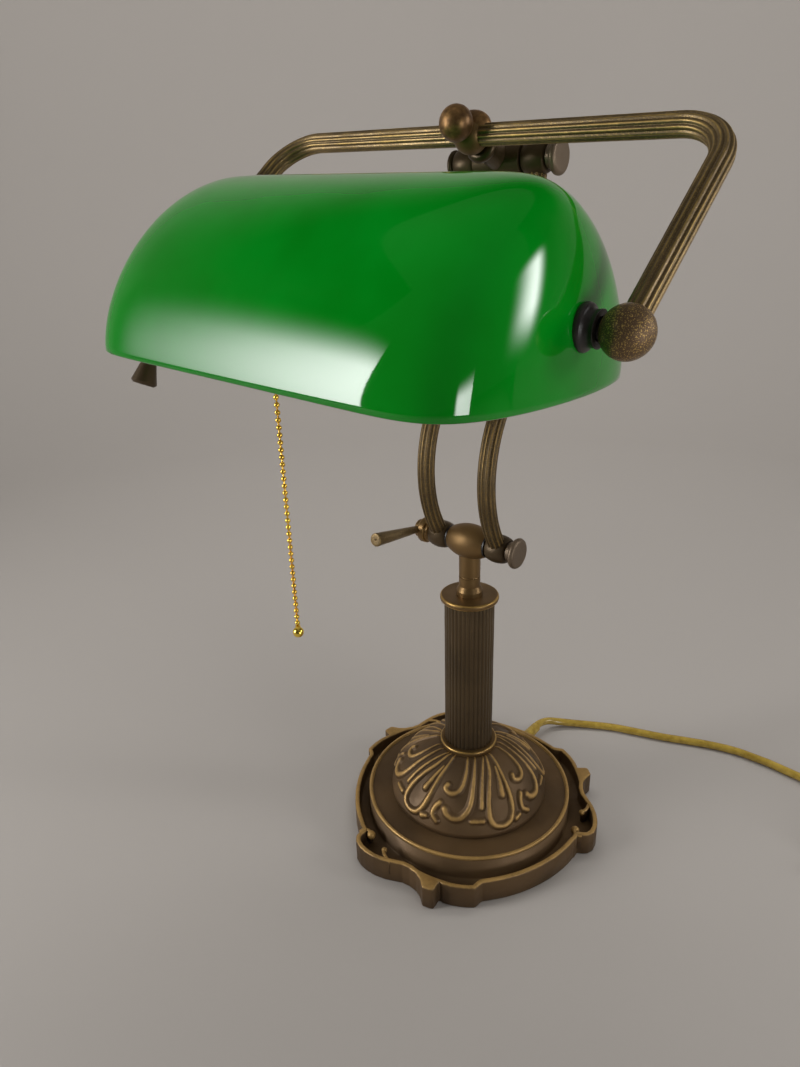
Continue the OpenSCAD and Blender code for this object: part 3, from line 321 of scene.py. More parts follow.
class NodeSheet:
    """A node tree that is written step by step."""

    def __init__(self, tree: bpy.types.NodeTree) -> None:
        """Takes the tree to write in."""
        self.tree = tree

    def socket(self, name: str, kind: str, in_out: str = "INPUT") -> None:
        """Gives the tree a named input or output."""
        self.tree.interface.new_socket(name=name, in_out=in_out, socket_type="NodeSocket" + kind)

    def feed(self, taker: bpy.types.NodeSocket, value: object) -> None:
        """Gives an input what it takes.

        Args:
            taker: The input.
            value: A socket to link, or a plain value.
        """
        if isinstance(value, bpy.types.NodeSocket):
            self.tree.links.new(value, taker)
        else:
            taker.default_value = (*value, 1.0) if taker.type == "RGBA" else value

    def step(self, kind: str, inputs: dict[str | int, object] | None = None,
             **settings: object) -> bpy.types.Node:
        """Adds a node.

        Args:
            kind: Blender's name of the node type.
            inputs: What each input takes: a socket to link, or a value.
            settings: Properties of the node.

        Returns:
            The new node.
        """
        node = self.tree.nodes.new(kind)
        for key, value in settings.items():
            setattr(node, key, value)
        for key, value in (inputs or {}).items():
            self.feed(node.inputs[key], value)
        return node

    def maths(self, operation: str, *values: object) -> bpy.types.NodeSocket:
        """Adds a sum and returns its result."""
        return self.step("ShaderNodeMath", dict(enumerate(values)), operation=operation).outputs[0]


class GeometryTree(NodeSheet):
    """A Geometry Nodes tree whose result is baked into a piece."""

    def __init__(self, name: str, takes_geometry: bool) -> None:
        """Starts an empty tree.

        Args:
            name: Name of the tree.
            takes_geometry: Whether it works on the piece's own geometry.
        """
        super().__init__(bpy.data.node_groups.new(name, "GeometryNodeTree"))
        if takes_geometry:
            self.socket("Geometry", "Geometry")
        self.socket("Geometry", "Geometry", "OUTPUT")
        self.source = self.step("NodeGroupInput")
        self.result = self.step("NodeGroupOutput")

    def size(self, name: str, kind: str) -> bpy.types.NodeSocket:
        """Adds a named input and returns its socket inside the tree."""
        self.socket(name, kind)
        return self.source.outputs[name]

    def end(self, geometry: bpy.types.NodeSocket) -> None:
        """Ends the tree: smooth faces, real geometry and the finish.

        Args:
            geometry: What the tree has made.
        """
        finish = self.size("Finish", "Material")
        smooth = self.step("GeometryNodeSetShadeSmooth", {"Geometry": geometry})
        real = self.step("GeometryNodeRealizeInstances", {"Geometry": smooth.outputs[0]})
        dressed = self.step("GeometryNodeSetMaterial", {"Geometry": real.outputs[0], "Material": finish})
        self.feed(self.result.inputs[0], dressed.outputs[0])

    def bake(self, name: str, carrier: bpy.types.Mesh, values: dict[str, object]) -> bpy.types.Object:
        """Runs the tree and keeps its result as a plain mesh.

        Args:
            name: Name of the piece.
            carrier: Mesh that the tree works on, or an empty one.
            values: Value of each named input.

        Returns:
            The baked piece.
        """
        piece = link(name, carrier)
        modifier = piece.modifiers.new(self.tree.name, "NODES")
        modifier.node_group = self.tree
        for item in self.tree.interface.items_tree:
            if item.in_out == "INPUT" and item.name in values:
                modifier[item.identifier] = values[item.name]
        keep_result(piece, modifier)
        bpy.data.meshes.remove(carrier)
        face_outward(piece.data, weld=False)
        return piece


def reeded_tree() -> GeometryTree:
    """Writes the tree that sweeps a round section with reeds, or with grooves, along a path.

    Returns:
        The tree, with inputs for the radius, the number, depth and fullness of the reeds, and the finish.
    """
    tree = GeometryTree("reeded_bar", takes_geometry=True)
    radius = tree.size("Radius", "Float")
    reeds = tree.size("Reeds", "Int")
    depth = tree.size("Depth", "Float")
    fullness = tree.size("Fullness", "Float")
    points_per_reed = 10.0
    wear_sharpness = 4.0
    corners = tree.maths("MULTIPLY", reeds, points_per_reed)
    ring = tree.step("GeometryNodeCurvePrimitiveCircle", {"Resolution": corners, "Radius": 1.0})
    share = tree.step("GeometryNodeSplineParameter").outputs["Factor"]
    wave = tree.maths("COSINE", tree.maths("MULTIPLY", tree.maths("MULTIPLY", share, math.pi), reeds))
    crest = tree.maths("POWER", tree.maths("ABSOLUTE", wave), fullness)
    sunk = tree.maths("MULTIPLY", depth, tree.maths("SUBTRACT", 1.0, crest))
    reach = tree.maths("SUBTRACT", radius, sunk)
    spot = tree.step("GeometryNodeInputPosition").outputs[0]
    moved = tree.step("ShaderNodeVectorMath", {0: spot, "Scale": reach}, operation="SCALE").outputs[0]
    section = tree.step("GeometryNodeSetPosition", {"Geometry": ring.outputs[0], "Position": moved})
    wear = tree.maths("POWER", crest, wear_sharpness)
    rubbed = tree.step("GeometryNodeStoreNamedAttribute",
                       {"Geometry": section.outputs[0], "Name": WEAR, "Value": wear},
                       data_type="FLOAT", domain="POINT")
    path = tree.step("GeometryNodeMeshToCurve", {0: tree.source.outputs["Geometry"]})
    body = tree.step("GeometryNodeCurveToMesh",
                     {"Curve": path.outputs[0], "Profile Curve": rubbed.outputs[0], "Fill Caps": True})
    tree.end(body.outputs[0])
    return tree


def bead_tree() -> GeometryTree:
    """Writes the tree that threads beads on a wire, hanging down from a point.

    Returns:
        The tree, with inputs for the beads' number, pitch and radius, the wire, the point and the finish.
    """
    tree = GeometryTree("bead_string", takes_geometry=False)
    beads = tree.size("Beads", "Int")
    pitch = tree.size("Pitch", "Float")
    bead = tree.size("Bead Radius", "Float")
    wire = tree.size("Wire Radius", "Float")
    top = tree.size("Top", "Vector")
    drop = tree.step("ShaderNodeCombineXYZ", {"Z": tree.maths("MULTIPLY", pitch, -1.0)}).outputs[0]
    line = tree.step("GeometryNodeMeshLine", {"Count": beads, "Start Location": top, "Offset": drop})
    ball = tree.step("GeometryNodeMeshUVSphere", {"Segments": 20, "Rings": 12, "Radius": bead})
    string = tree.step("GeometryNodeInstanceOnPoints",
                       {"Points": line.outputs[0], "Instance": ball.outputs[0]})
    length = tree.maths("MULTIPLY", pitch, beads)
    rod = tree.step("GeometryNodeMeshCylinder", {"Vertices": 12, "Radius": wire, "Depth": length})
    half = tree.step("ShaderNodeCombineXYZ", {"Z": tree.maths("MULTIPLY", length, -0.5)}).outputs[0]
    middle = tree.step("ShaderNodeVectorMath", {0: top, 1: half}, operation="ADD").outputs[0]
    hung = tree.step("GeometryNodeTransform", {"Geometry": rod.outputs[0], "Translation": middle})
    both = tree.step("GeometryNodeJoinGeometry", {"Geometry": hung.outputs[0]})
    tree.feed(both.inputs[0], string.outputs[0])
    tree.end(both.outputs[0])
    return tree


class ShaderSheet(NodeSheet):
    """A node tree of a material, of a light or of a shader group."""

    def noise(self, place: bpy.types.NodeSocket, scale: object, detail: float = 3.0) -> bpy.types.NodeSocket:
        """Adds a noise and returns its value."""
        return self.step("ShaderNodeTexNoise", {"Vector": place, "Scale": scale, "Detail": detail}).outputs[0]

    def ramp(self, value: bpy.types.NodeSocket, low: float, high: float,
             to_low: float = 0.0, to_high: float = 1.0) -> bpy.types.NodeSocket:
        """Adds a smooth step between two values and returns it."""
        inputs = {"Value": value, "From Min": low, "From Max": high, "To Min": to_low, "To Max": to_high}
        return self.step("ShaderNodeMapRange", inputs, interpolation_type="SMOOTHSTEP").outputs[0]

    def mix(self, share: object, first: object, second: object) -> bpy.types.NodeSocket:
        """Adds a mix of two colours and returns it."""
        return self.step("ShaderNodeMix", {0: share, 6: first, 7: second}, data_type="RGBA").outputs[2]


class SurfaceGroup(ShaderSheet):
    """A shader group that gives a surface's colour, roughness and height."""

    NAME: ClassVar[str]
    INPUTS: ClassVar[tuple[tuple[str, str], ...]]
    OUTPUTS = (("Color", "Color"), ("Roughness", "Float"), ("Height", "Float"))

    def __init__(self) -> None:
        """Builds the group."""
        super().__init__(bpy.data.node_groups.new(self.NAME, "ShaderNodeTree"))
        for name, kind in self.INPUTS:
            self.socket(name, kind)
        for name, kind in self.OUTPUTS:
            self.socket(name, kind, "OUTPUT")
        self.given = self.step("NodeGroupInput").outputs
        self.place = self.step("ShaderNodeTexCoord").outputs["Object"]
        self.step("NodeGroupOutput", self.surface())

    def gloss(self, share: bpy.types.NodeSocket) -> bpy.types.NodeSocket:
        """Roughness that lies a share of the way from Smooth to Rough."""
        spread = self.maths("SUBTRACT", self.given["Rough"], self.given["Smooth"])
        return self.maths("ADD", self.given["Smooth"], self.maths("MULTIPLY", spread, share))

    def sum_of(self, first: bpy.types.NodeSocket, weight: float, second: bpy.types.NodeSocket,
               other_weight: float) -> bpy.types.NodeSocket:
        """Two values added up, each with its weight."""
        return self.maths("ADD", self.maths("MULTIPLY", first, weight),
                          self.maths("MULTIPLY", second, other_weight))

    def surface(self) -> dict[str, bpy.types.NodeSocket]:
        """What each output of the group gives."""
        raise NotImplementedError


class AgedMetalGroup(SurfaceGroup):
    """Shader group of a dark patina that is rubbed through to gold where hands and cloth reach it."""

    NAME = "aged_metal"
    INPUTS = (("Dark", "Color"), ("Worn", "Color"), ("Rub", "Float"), ("Bare", "Float"), ("Flecks", "Float"),
              ("Grain", "Float"), ("Smooth", "Float"), ("Rough", "Float"))
    PATCHES = 75.0
    CLOUDS = 22.0
    SPECKS = 1900.0
    POLISH = 0.12

    def surface(self) -> dict[str, bpy.types.NodeSocket]:
        """Writes the patina.

        Returns:
            What each output of the group gives.
        """
        given = self.given
        fine = self.noise(self.place, given["Grain"], 4.0)
        patches = self.noise(self.place, self.PATCHES, 3.0)
        broad = self.noise(self.place, self.CLOUDS, 2.0)
        rubbed = self.step("ShaderNodeAttribute", attribute_name=WEAR).outputs["Fac"]
        reach = self.maths("ADD", self.maths("MULTIPLY", rubbed, given["Rub"]), given["Bare"])
        uneven = self.maths("SUBTRACT", self.sum_of(fine, 0.35, patches, 0.55), 0.45)
        edge = self.ramp(self.maths("ADD", reach, uneven), 0.3, 0.85)
        specks = self.ramp(self.noise(self.place, self.SPECKS, 2.0), 0.54, 0.64)
        gold = self.maths("MAXIMUM", edge, self.maths("MULTIPLY", specks, given["Flecks"]))
        shade = self.ramp(broad, 0.3, 0.7, 0.75, 1.3)
        tone = self.step("ShaderNodeHueSaturation", {"Value": shade, "Color": given["Dark"]}).outputs[0]
        rough = self.gloss(self.ramp(patches, 0.3, 0.7))
        polished = self.maths("SUBTRACT", rough, self.maths("MULTIPLY", gold, self.POLISH))
        return {"Color": self.mix(gold, tone, given["Worn"]), "Roughness": polished, "Height": fine}


class GrainGroup(SurfaceGroup):
    """Shader group of a plain surface whose colour and gloss vary a little."""

    NAME = "surface_grain"
    INPUTS = (("Light", "Color"), ("Deep", "Color"), ("Scale", "Float"), ("Smooth", "Float"),
              ("Rough", "Float"))
    CLOUDS = 30.0

    def surface(self) -> dict[str, bpy.types.NodeSocket]:
        """Writes the grain.

        Returns:
            What each output of the group gives.
        """
        grain = self.noise(self.place, self.given["Scale"], 4.0)
        cloud = self.noise(self.place, self.CLOUDS, 2.0)
        share = self.ramp(self.sum_of(grain, 0.5, cloud, 0.5), 0.35, 0.65)
        colour = self.mix(share, self.given["Deep"], self.given["Light"])
        return {"Color": colour, "Roughness": self.gloss(grain), "Height": grain}


def new_material(name: str) -> tuple[bpy.types.Material, ShaderSheet, bpy.types.Node]:
    """Starts a material.

    Args:
        name: Name of the material.

    Returns:
        The material, the sheet to write it on and its shader.
    """
    material = bpy.data.materials.new(name)
    material.use_nodes = True
    return material, ShaderSheet(material.node_tree), material.node_tree.nodes["Principled BSDF"]


class Finish:
    """What all finishes share: the values of a group's inputs, a bump, and the shader's own values."""

    BUMP_HEIGHT: ClassVar[float]
    SHADER: ClassVar[dict[str, str]]

    def build(self, group: SurfaceGroup) -> bpy.types.Material:
        """Makes the material.

        Args:
            group: The group that gives its colour, roughness and height.

        Returns:
            The new material.
        """
        material, sheet, shader = new_material(self.name)
        values = {name: getattr(self, name.lower()) for name, _ in group.INPUTS}
        surface = sheet.step("ShaderNodeGroup", values, node_tree=group.tree).outputs
        sheet.feed(shader.inputs["Base Color"], surface["Color"])
        sheet.feed(shader.inputs["Roughness"], surface["Roughness"])
        if self.bump:
            bump = sheet.step("ShaderNodeBump", {"Height": surface["Height"], "Strength": self.bump,
                                                 "Distance": self.BUMP_HEIGHT})
            sheet.feed(shader.inputs["Normal"], bump.outputs[0])
        for socket, value_name in self.SHADER.items():
            shader.inputs[socket].default_value = getattr(self, value_name)
        return material


@dataclass(frozen=True)
class AgedMetal(Finish):
    """A metal finish with a dark patina and gold where it is rubbed."""

    BUMP_HEIGHT = 0.0004
    SHADER = {"Metallic": "metallic"}

    name: str
    dark: Colour
    worn: Colour
    rub: float = 1.0
    bare: float = 0.0
    flecks: float = 0.0
    grain: float = 420.0
    smooth: float = 0.32
    rough: float = 0.55
    metallic: float = 1.0
    bump: float = 0.08


@dataclass(frozen=True)
class Grained(Finish):
    """A plain finish, such as plastic, felt, porcelain or glass that doesn't show what is behind it."""

    BUMP_HEIGHT = 0.0003
    SHADER = {"Metallic": "metallic", "IOR": "ior", "Coat Weight": "coat", "Sheen Weight": "sheen"}

    name: str
    light: Colour
    deep: Colour
    scale: float = 300.0
    smooth: float = 0.3
    rough: float = 0.45
    metallic: float = 0.0
    ior: float = 1.5
    coat: float = 0.0
    sheen: float = 0.0
    bump: float = 0.05


class Finishes:
    """Every material of the lamp, made once."""

    METALS = (
        AgedMetal("bronze", srgb(84, 70, 47), srgb(176, 142, 78), rub=0.54, flecks=0.3, smooth=0.36,
                  rough=0.56, metallic=0.7),
        # A lighter copy of bronze as painted sheen: the yoke and the clamp lever are painted brighter where
        # light falls on them
        AgedMetal("light_bronze", srgb(108, 91, 64), srgb(208, 172, 98), rub=0.58, flecks=0.3, smooth=0.36,
                  rough=0.56, metallic=0.7),
        AgedMetal("cast_bronze", srgb(90, 69, 44), srgb(176, 140, 82), rub=0.74, smooth=0.46, rough=0.66,
                  metallic=0.5, bump=0.2),
        AgedMetal("dark_bronze", srgb(78, 63, 42), srgb(120, 98, 62), rub=0.35, metallic=0.6),
        AgedMetal("flecked_bronze", srgb(100, 80, 60), srgb(214, 178, 100), flecks=0.8, grain=700.0,
                  rough=0.6, metallic=0.65),
        AgedMetal("worn_gold", srgb(112, 87, 52), srgb(190, 152, 84), rub=0.7, smooth=0.36, rough=0.52,
                  metallic=0.7),
        AgedMetal("rubbed_gold", srgb(104, 76, 46), srgb(230, 176, 108), rub=0.0, bare=0.4, smooth=0.36,
                  rough=0.5, metallic=0.7),
        AgedMetal("pale_bronze", srgb(120, 103, 84), srgb(170, 146, 108), rub=0.5, smooth=0.42, rough=0.58,
                  metallic=0.6),
        AgedMetal("bright_brass", srgb(240, 196, 84), srgb(250, 214, 110), smooth=0.16, rough=0.26,
                  bump=0.02),
        AgedMetal("iron", srgb(86, 84, 82), srgb(120, 116, 110), smooth=0.4, rough=0.6),
        AgedMetal("steel", srgb(150, 150, 150), srgb(190, 188, 184), smooth=0.25, rough=0.4),
    )
    PLAIN = (
        Grained("felt", srgb(44, 66, 48), srgb(26, 42, 30), 900.0, 0.9, 1.0, sheen=0.3, bump=0.4),
        Grained("black_plastic", srgb(46, 41, 39), srgb(32, 28, 27), 500.0, 0.3, 0.45, bump=0.04),
        Grained("green_glass", srgb(0, 136, 26), srgb(0, 124, 18), 14.0, 0.03, 0.06, ior=1.52, bump=0.0),
        Grained("white_lining", srgb(236, 238, 230), srgb(226, 230, 220), 20.0, 0.12, 0.2, bump=0.0),
        Grained("bulb_glass", srgb(236, 234, 226), srgb(228, 226, 218), 25.0, 0.2, 0.3, bump=0.0),
        Grained("porcelain", srgb(232, 228, 218), srgb(222, 217, 205), 120.0, 0.15, 0.25, bump=0.02),
        Grained("cord_gold", srgb(176, 148, 62), srgb(140, 114, 40), 260.0, 0.16, 0.28, coat=0.3, bump=0.03),
    )

    def __init__(self) -> None:
        """Builds all materials."""
        patina = AgedMetalGroup()
        grain = GrainGroup()
        self.made = {finish.name: finish.build(patina) for finish in self.METALS}
        self.made.update({finish.name: finish.build(grain) for finish in self.PLAIN})

    def __getitem__(self, name: str) -> bpy.types.Material:
        """The material of that name."""
        return self.made[name]


@dataclass(frozen=True)
class Reeding:
    """The section of a reeded or grooved bar, in millimetres."""

    diameter: float = 10.6
    reeds: int = 12
    depth: float = 0.75
    fullness: float = 1.0


@dataclass
class Kit:
    """What the assemblies are made with."""

    finishes: Finishes
    reeded: GeometryTree
    beads: GeometryTree


@dataclass
class Assembly:
    """A part of the lamp that moves as one or few bodies."""

    kit: Kit

    def dress(self, piece: bpy.types.Object, finish: str, body: str, nodes: tuple[str, ...],
              slot: str | None = None) -> None:
        """Gives a new piece its finish and ties it to its body and to the CAD nodes it stands for.

        Args:
            piece: The new piece.
            finish: Name of its finish.
            body: CAD body it moves with.
            nodes: CAD nodes it stands for.
            slot: Not used.
        """
        if not piece.data.materials:
            piece.data.materials.append(self.kit.finishes[finish])
        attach(piece, body)
        if nodes:
            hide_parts(*nodes)
        LOG.info("%s: %d faces on %s", piece.name, len(piece.data.polygons), body)

    def keep(self, finish: str, *nodes: str) -> None:
        """Dresses CAD nodes whose shape is right as it is.

        Args:
            finish: Name of their finish.
            nodes: The CAD nodes.
        """
        for node in nodes:
            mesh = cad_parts[node].data
            if not mesh.materials:
                mesh.materials.append(None)
            for index in range(len(mesh.materials)):
                mesh.materials[index] = self.kit.finishes[finish]
            LOG.info("%s: CAD node in %s", node, finish)

    def bar(self, name: str, path: np.ndarray, reeding: Reeding, finish: str, body: str, node: str) -> None:
        """Makes and dresses a reeded bar of bronze.

        Args:
            name: Name of the piece.
            path: Its middle line, in millimetres.
            reeding: Its section.
            finish: Name of its finish.
            body: CAD body it moves with.
            node: CAD node it stands for.
        """
        line = bpy.data.meshes.new(name)
        line.from_pydata((path * MM).tolist(), [(index, index + 1) for index in range(len(path) - 1)], [])
        piece = self.kit.reeded.bake(name, line, {
            "Radius": reeding.diameter / 2 * MM, "Reeds": reeding.reeds, "Depth": reeding.depth * MM,
            "Fullness": reeding.fullness, "Finish": self.kit.finishes[finish]})
        self.dress(piece, finish, body, (node,), "bronze")


@dataclass
class Viewpoint:
    """The camera, at the photograph's place."""

    place: Point = (0.2311, -0.3459, 0.3877)
    heading: float = 129.74
    pitch: float = 22.29
    roll: float = 1.83
    focal_pixels: float = 720.94
    width_pixels: float = 800.0
    sensor: float = 36.0
    nearest: float = 0.01

    def build(self) -> None:
        """Makes the camera and sets it as the scene's."""
        data = bpy.data.cameras.new("viewpoint")
        data.sensor_fit = "HORIZONTAL"
        data.sensor_width = self.sensor
        data.lens = self.sensor * self.focal_pixels / self.width_pixels
        data.clip_start = self.nearest
        camera = link("viewpoint", data)
        turns = ((self.heading - 90, "Z"), (90 - self.pitch, "X"), (-self.roll, "Z"))
        place = Matrix.Translation(self.place)
        for angle, axis in turns:
            place = place @ Matrix.Rotation(math.radians(angle), 4, axis)
        camera.matrix_world = place
        bpy.context.scene.camera = camera
        LOG.info("camera at %s", self.place)


@dataclass
class Cord(Assembly):
    """The cord from the foot to its plug, with its spare length in a tied coil; in millimetres."""

    diameter: float = 6.0
    sides: int = 14
    route: tuple[Point, ...] = (
        (0, 100, 9.5), (0, 106, 9.5), (3, 115, 8), (10, 123, 5.5), (21, 131, 3.9), (34, 139, 3.2),
        (48, 146, 3), (63, 151, 3), (85, 158, 3), (100, 164, 3), (116, 170, 3), (130, 174, 3), (143, 176, 3),
        (156, 176, 3), (168, 175, 3), (184, 173, 3.1), (200, 172, 3.3), (218, 171.8, 3.5), (236, 171.8, 3.7),
        (254, 171.8, 3.7), (260, 171.8, 3.7),
    )
    coil_centre: Spot = (266.0, 126.0)
    coil_radius: float = 26.0
    pitch: float = 6.6
    lift: float = 3.7
    turns: float = 6.25
    turns_below: float = 3.0
    climbing_turns: float = 0.5
    steps_per_turn: int = 24
    step_out: Point = (0, -10, -1.6)
    plug_line: tuple[Point, ...] = ((313.45, 106, 7), (313.45, 100, 7))
    farthest_back: float = 175.8

    def path(self) -> np.ndarray:
        """The cord's middle line, from the foot through the coil's two layers to the plug.

        Returns:
            The line's points, in millimetres.
        """
        steps = np.arange(0, round(self.turns * self.steps_per_turn) + 1) / self.steps_per_turn
        climb_start = self.turns_below - self.climbing_turns / 2
        climb = np.clip((steps - climb_start) / self.climbing_turns, 0, 1)
        radius = self.coil_radius + self.pitch * np.abs(steps - self.turns_below)
        coil = polar(radius, np.radians(90 - 360 * steps), self.lift + self.pitch * climb)
        coil[:, :2] += self.coil_centre
        path = smooth_path(np.vstack([self.route, coil, coil[-1] + self.step_out, self.plug_line]))
        path[:, 1] = np.minimum(path[:, 1], self.farthest_back)
        return path

    def build(self) -> None:
        path = self.path()
        turn = full_turn(self.sides)
        section = polar(self.diameter / 2, turn, 0.0)[:, :2]
        run = np.concatenate([[0], np.cumsum(np.linalg.norm(np.diff(path, axis=0), axis=1))])
        uv = np.stack(np.meshgrid(turn / (2 * np.pi), run * MM), -1).reshape(-1, 2)
        cord = swept("cord_lead", path, section, uv=uv)
        self.dress(cord, "cord_gold", "base", ("cord", "cord_coil"))
        self.keep("black_plastic", "coil_tie")
        self.keep("cord_gold", "plug_body", "cord_gland")
        self.keep("steel", "plug_pins")


@dataclass
class Foot(Assembly):
    """The cast foot with its scroll fence, drum and leaf dome; in millimetres and degrees."""

    # Reach of the outline by bearing within one group: lobe, hollow, post, notch, tab and plain arc
    fence_outline: tuple[Spot, ...] = (
        (-6.6, 83.4), (-5.9, 86.6), (-4.6, 89.6), (-2.0, 91.8), (1.5, 92.4), (5.0, 91.9), (9.2, 90.5),
        (13.9, 88.0), (17.9, 85.2), (21.5, 83.1), (25.2, 82.8), (29.2, 84.4), (31.9, 87.3), (33.4, 90.6),
        (34.3, 92.6), (37.6, 93.0), (38.9, 92.4), (39.3, 89.2), (39.6, 86.0), (40.3, 85.6), (41.5, 86.6),
        (44.9, 87.3), (49.1, 87.7), (54.5, 87.7), (55.5, 86.9), (57.1, 84.4), (58.3, 83.1), (63.7, 82.4),
        (71.6, 81.9), (80.0, 81.6), (90.0, 81.7), (100.5, 82.3), (109.0, 82.9),
    )
    # Middle lines of the curls in each lobe, by bearing and reach, with the radius of the ball at the end
    curl_lines: tuple[tuple[tuple[Spot, ...], float], ...] = (
        (((-6.2, 85.5), (-6.8, 82.6), (-5.4, 80.2), (-3.0, 79.5)), 2.9),
        (((16.5, 85.6), (13.0, 84.4), (10.6, 82.8), (9.2, 80.6)), 1.9),
    )
    # Lines of one group of leaves: width at the start and end, then bearing and height of each point
    leaf_group: tuple[tuple[float, float, tuple[Spot, ...]], ...] = (
        (5.2, 5.2, ((7, 69.4), (0, 59), (-6.5, 49.6), (-10.8, 39), (-11.4, 31), (-8.8, 26.4), (-3, 24.6),
                    (3.2, 26), (7.2, 31), (9.4, 38), (10.8, 46), (12.3, 54), (15, 62), (17, 69.4))),
        (3.8, 6.4, ((10, 60), (6, 51), (3, 42.5))),
        (4.4, 4.4, ((1, 69.4), (-11, 56.8), (-15, 47), (-17, 37.5))),
        (5.2, 6.2, ((-15, 69.4), (-20, 59.5), (-22.8, 50.9), (-25, 42.6), (-28.2, 36.2), (-33.8, 31.4),
                    (-39.5, 30.6), (-44.4, 32.4), (-46.6, 35))),
        (5.0, 6.4, ((-29, 69.4), (-30.4, 59.5), (-33.6, 50.7), (-38.4, 46.2), (-45, 45.2), (-50, 47.4),
                    (-48.6, 50))),
        (5.0, 5.0, ((-51.6, 38), (-54.8, 34), (-55.2, 29.5), (-51.4, 26.4))),
        (4.2, 5.0, ((-25.5, 29.6), (-17, 29.6))),
        (5.4, 4.4, ((8.6, 26), (12.2, 27))),
    )
    lift: float = 0.5
    groups: int = 3
    first_group: float = 252.0
    group_start: float = -10.0
    # The post between these bearings is solid: the inside of the fence passes behind it
    post: Spot = (30.0, 41.0)
    outline_points: int = 1440
    smoothings: int = 2
    # Points on either side that can limit a drawn-in outline
    neighbours: int = 20
    fence_top: float = 17.0
    fence_wall: float = 3.2
    trough: float = 7.0
    drum_gap: float = 0.9
    drum_radius: float = 71.2
    drum_top: float = 23.0
    drum_roof: float = 6.0
    bead: float = 2.4
    plain_ring: float = 60.0
    hollow: float = 64.0
    cover_seat: float = 66.2
    cover_top: float = 3.2
    rod_hole: float = 5.1
    curl_wall: float = 2.4
    curl_sunk: float = 0.4
    dome_edge_radius: float = 54.5
    dome_edge: float = 3.0
    dome_height: float = 37.0
    dome_top_radius: float = 20.5
    dome_gap: float = 0.05
    dome_rows: int = 112
    sector_points: int = 160
    leaves: int = 5
    first_leaf: float = 332.0
    leaf_rise: float = 0.36
    # The leaves fade out over this angle below the dome's top
    leaf_fade: float = 1.5
    # Share of the ball's radius at which the leaves have their own width, and the most they widen
    full_width_at: float = 0.74
    widest: float = 1.1
    crest_roundness: float = 1.2
    wear_sharpness: float = 1.5

    def outline(self, turns: np.ndarray, inset: float) -> np.ndarray:
        """How far the foot's outline reaches in each direction.

        Args:
            turns: Directions in degrees.
            inset: How far the outline is drawn in.

        Returns:
            The reach in each direction, in millimetres.
        """
        behind_post = inset > self.fence_wall / 2
        first, last = self.post
        kept = [spot for spot in self.fence_outline if not (behind_post and first < spot[0] < last)]
        bearings, reaches = np.array(kept).T
        span = 360 / self.groups
        within = (turns - self.first_group - self.group_start) % span + self.group_start
        reach = np.interp(within, np.append(bearings, bearings[0] + span), np.append(reaches, reaches[0]))
        for _ in range(self.smoothings):
            reach = (np.roll(reach, 1) + 2 * reach + np.roll(reach, -1)) / 4
        step = math.radians(turns[1] - turns[0])
        drawn_in = reach - inset
        for shift in range(-self.neighbours, self.neighbours + 1):
            beside = np.roll(reach, shift)
            aside = beside * math.sin(shift * step)
            near = beside * math.cos(shift * step) - np.sqrt(np.maximum(inset ** 2 - aside ** 2, 0))
            drawn_in = np.where(np.abs(aside) <= inset, np.minimum(drawn_in, near), drawn_in)
        return drawn_in

    def casting(self) -> bpy.types.Object:
        """Makes the casting in one skin, from the fence's foot over the drum to the hollow underneath.

        Returns:
            The new piece.
        """
        wall, top, trough, drum = self.fence_wall, self.fence_top, self.trough, self.drum_radius
        bead = self.bead / 2
        roof = self.drum_top - self.drum_roof
        # Inset from the outline, height and wear of the fence's rows
        fence = (
            (0.4, self.lift, 0.0), (0.0, self.lift + 0.6, 0.1), (0.0, (self.lift + top) / 2, 0.0),
            (0.0, top - 1.3, 0.25), (0.15, top - 0.6, 0.7), (0.6, top - 0.1, 1.0), (wall / 2, top, 1.0),
            (wall - 0.6, top - 0.1, 1.0), (wall - 0.15, top - 0.6, 0.7), (wall, top - 1.3, 0.2),
            (wall, trough + 0.8, 0.0), (wall + 0.8, trough, 0.0),
        )
        # Radius, height and wear of the drum's rows, with the bead on its edge
        bead_angles = [math.radians(step * 30 - 20) for step in range(-2, 8)]
        drum_rows = (
            (drum + 0.8, trough, 0.0), (drum, trough + 0.8, 0.0), (drum, self.drum_top - bead - 0.4, 0.1),
            *((drum - bead + bead * math.cos(angle), self.drum_top + bead * math.sin(angle), 1.0)
              for angle in bead_angles),
            (drum - 2 * bead - 0.6, self.drum_top, 0.15), (self.plain_ring, self.drum_top, 0.0),
            (self.dome_edge_radius, self.drum_top, 0.0), (self.rod_hole, self.drum_top, 0.0),
            (self.rod_hole, roof, 0.0), (self.hollow, roof, 0.0), (self.hollow, self.cover_top, 0.0),
            (self.cover_seat, self.cover_top, 0.0), (self.cover_seat, self.lift, 0.0),
        )
        turns = np.linspace(0, 360, self.outline_points, endpoint=False)
        rows = [(np.maximum(self.outline(turns, inset), drum + self.drum_gap), height, wear)
                for inset, height, wear in fence]
        rows.extend(drum_rows)
        points = np.vstack([polar(reach, np.radians(turns), height) for reach, height, _ in rows])
        rubbed = np.repeat([wear for _, _, wear in rows], len(turns))
        return mesh_object("foot_body", points, grid_faces(len(rows), len(turns), close_rows=True), rubbed)

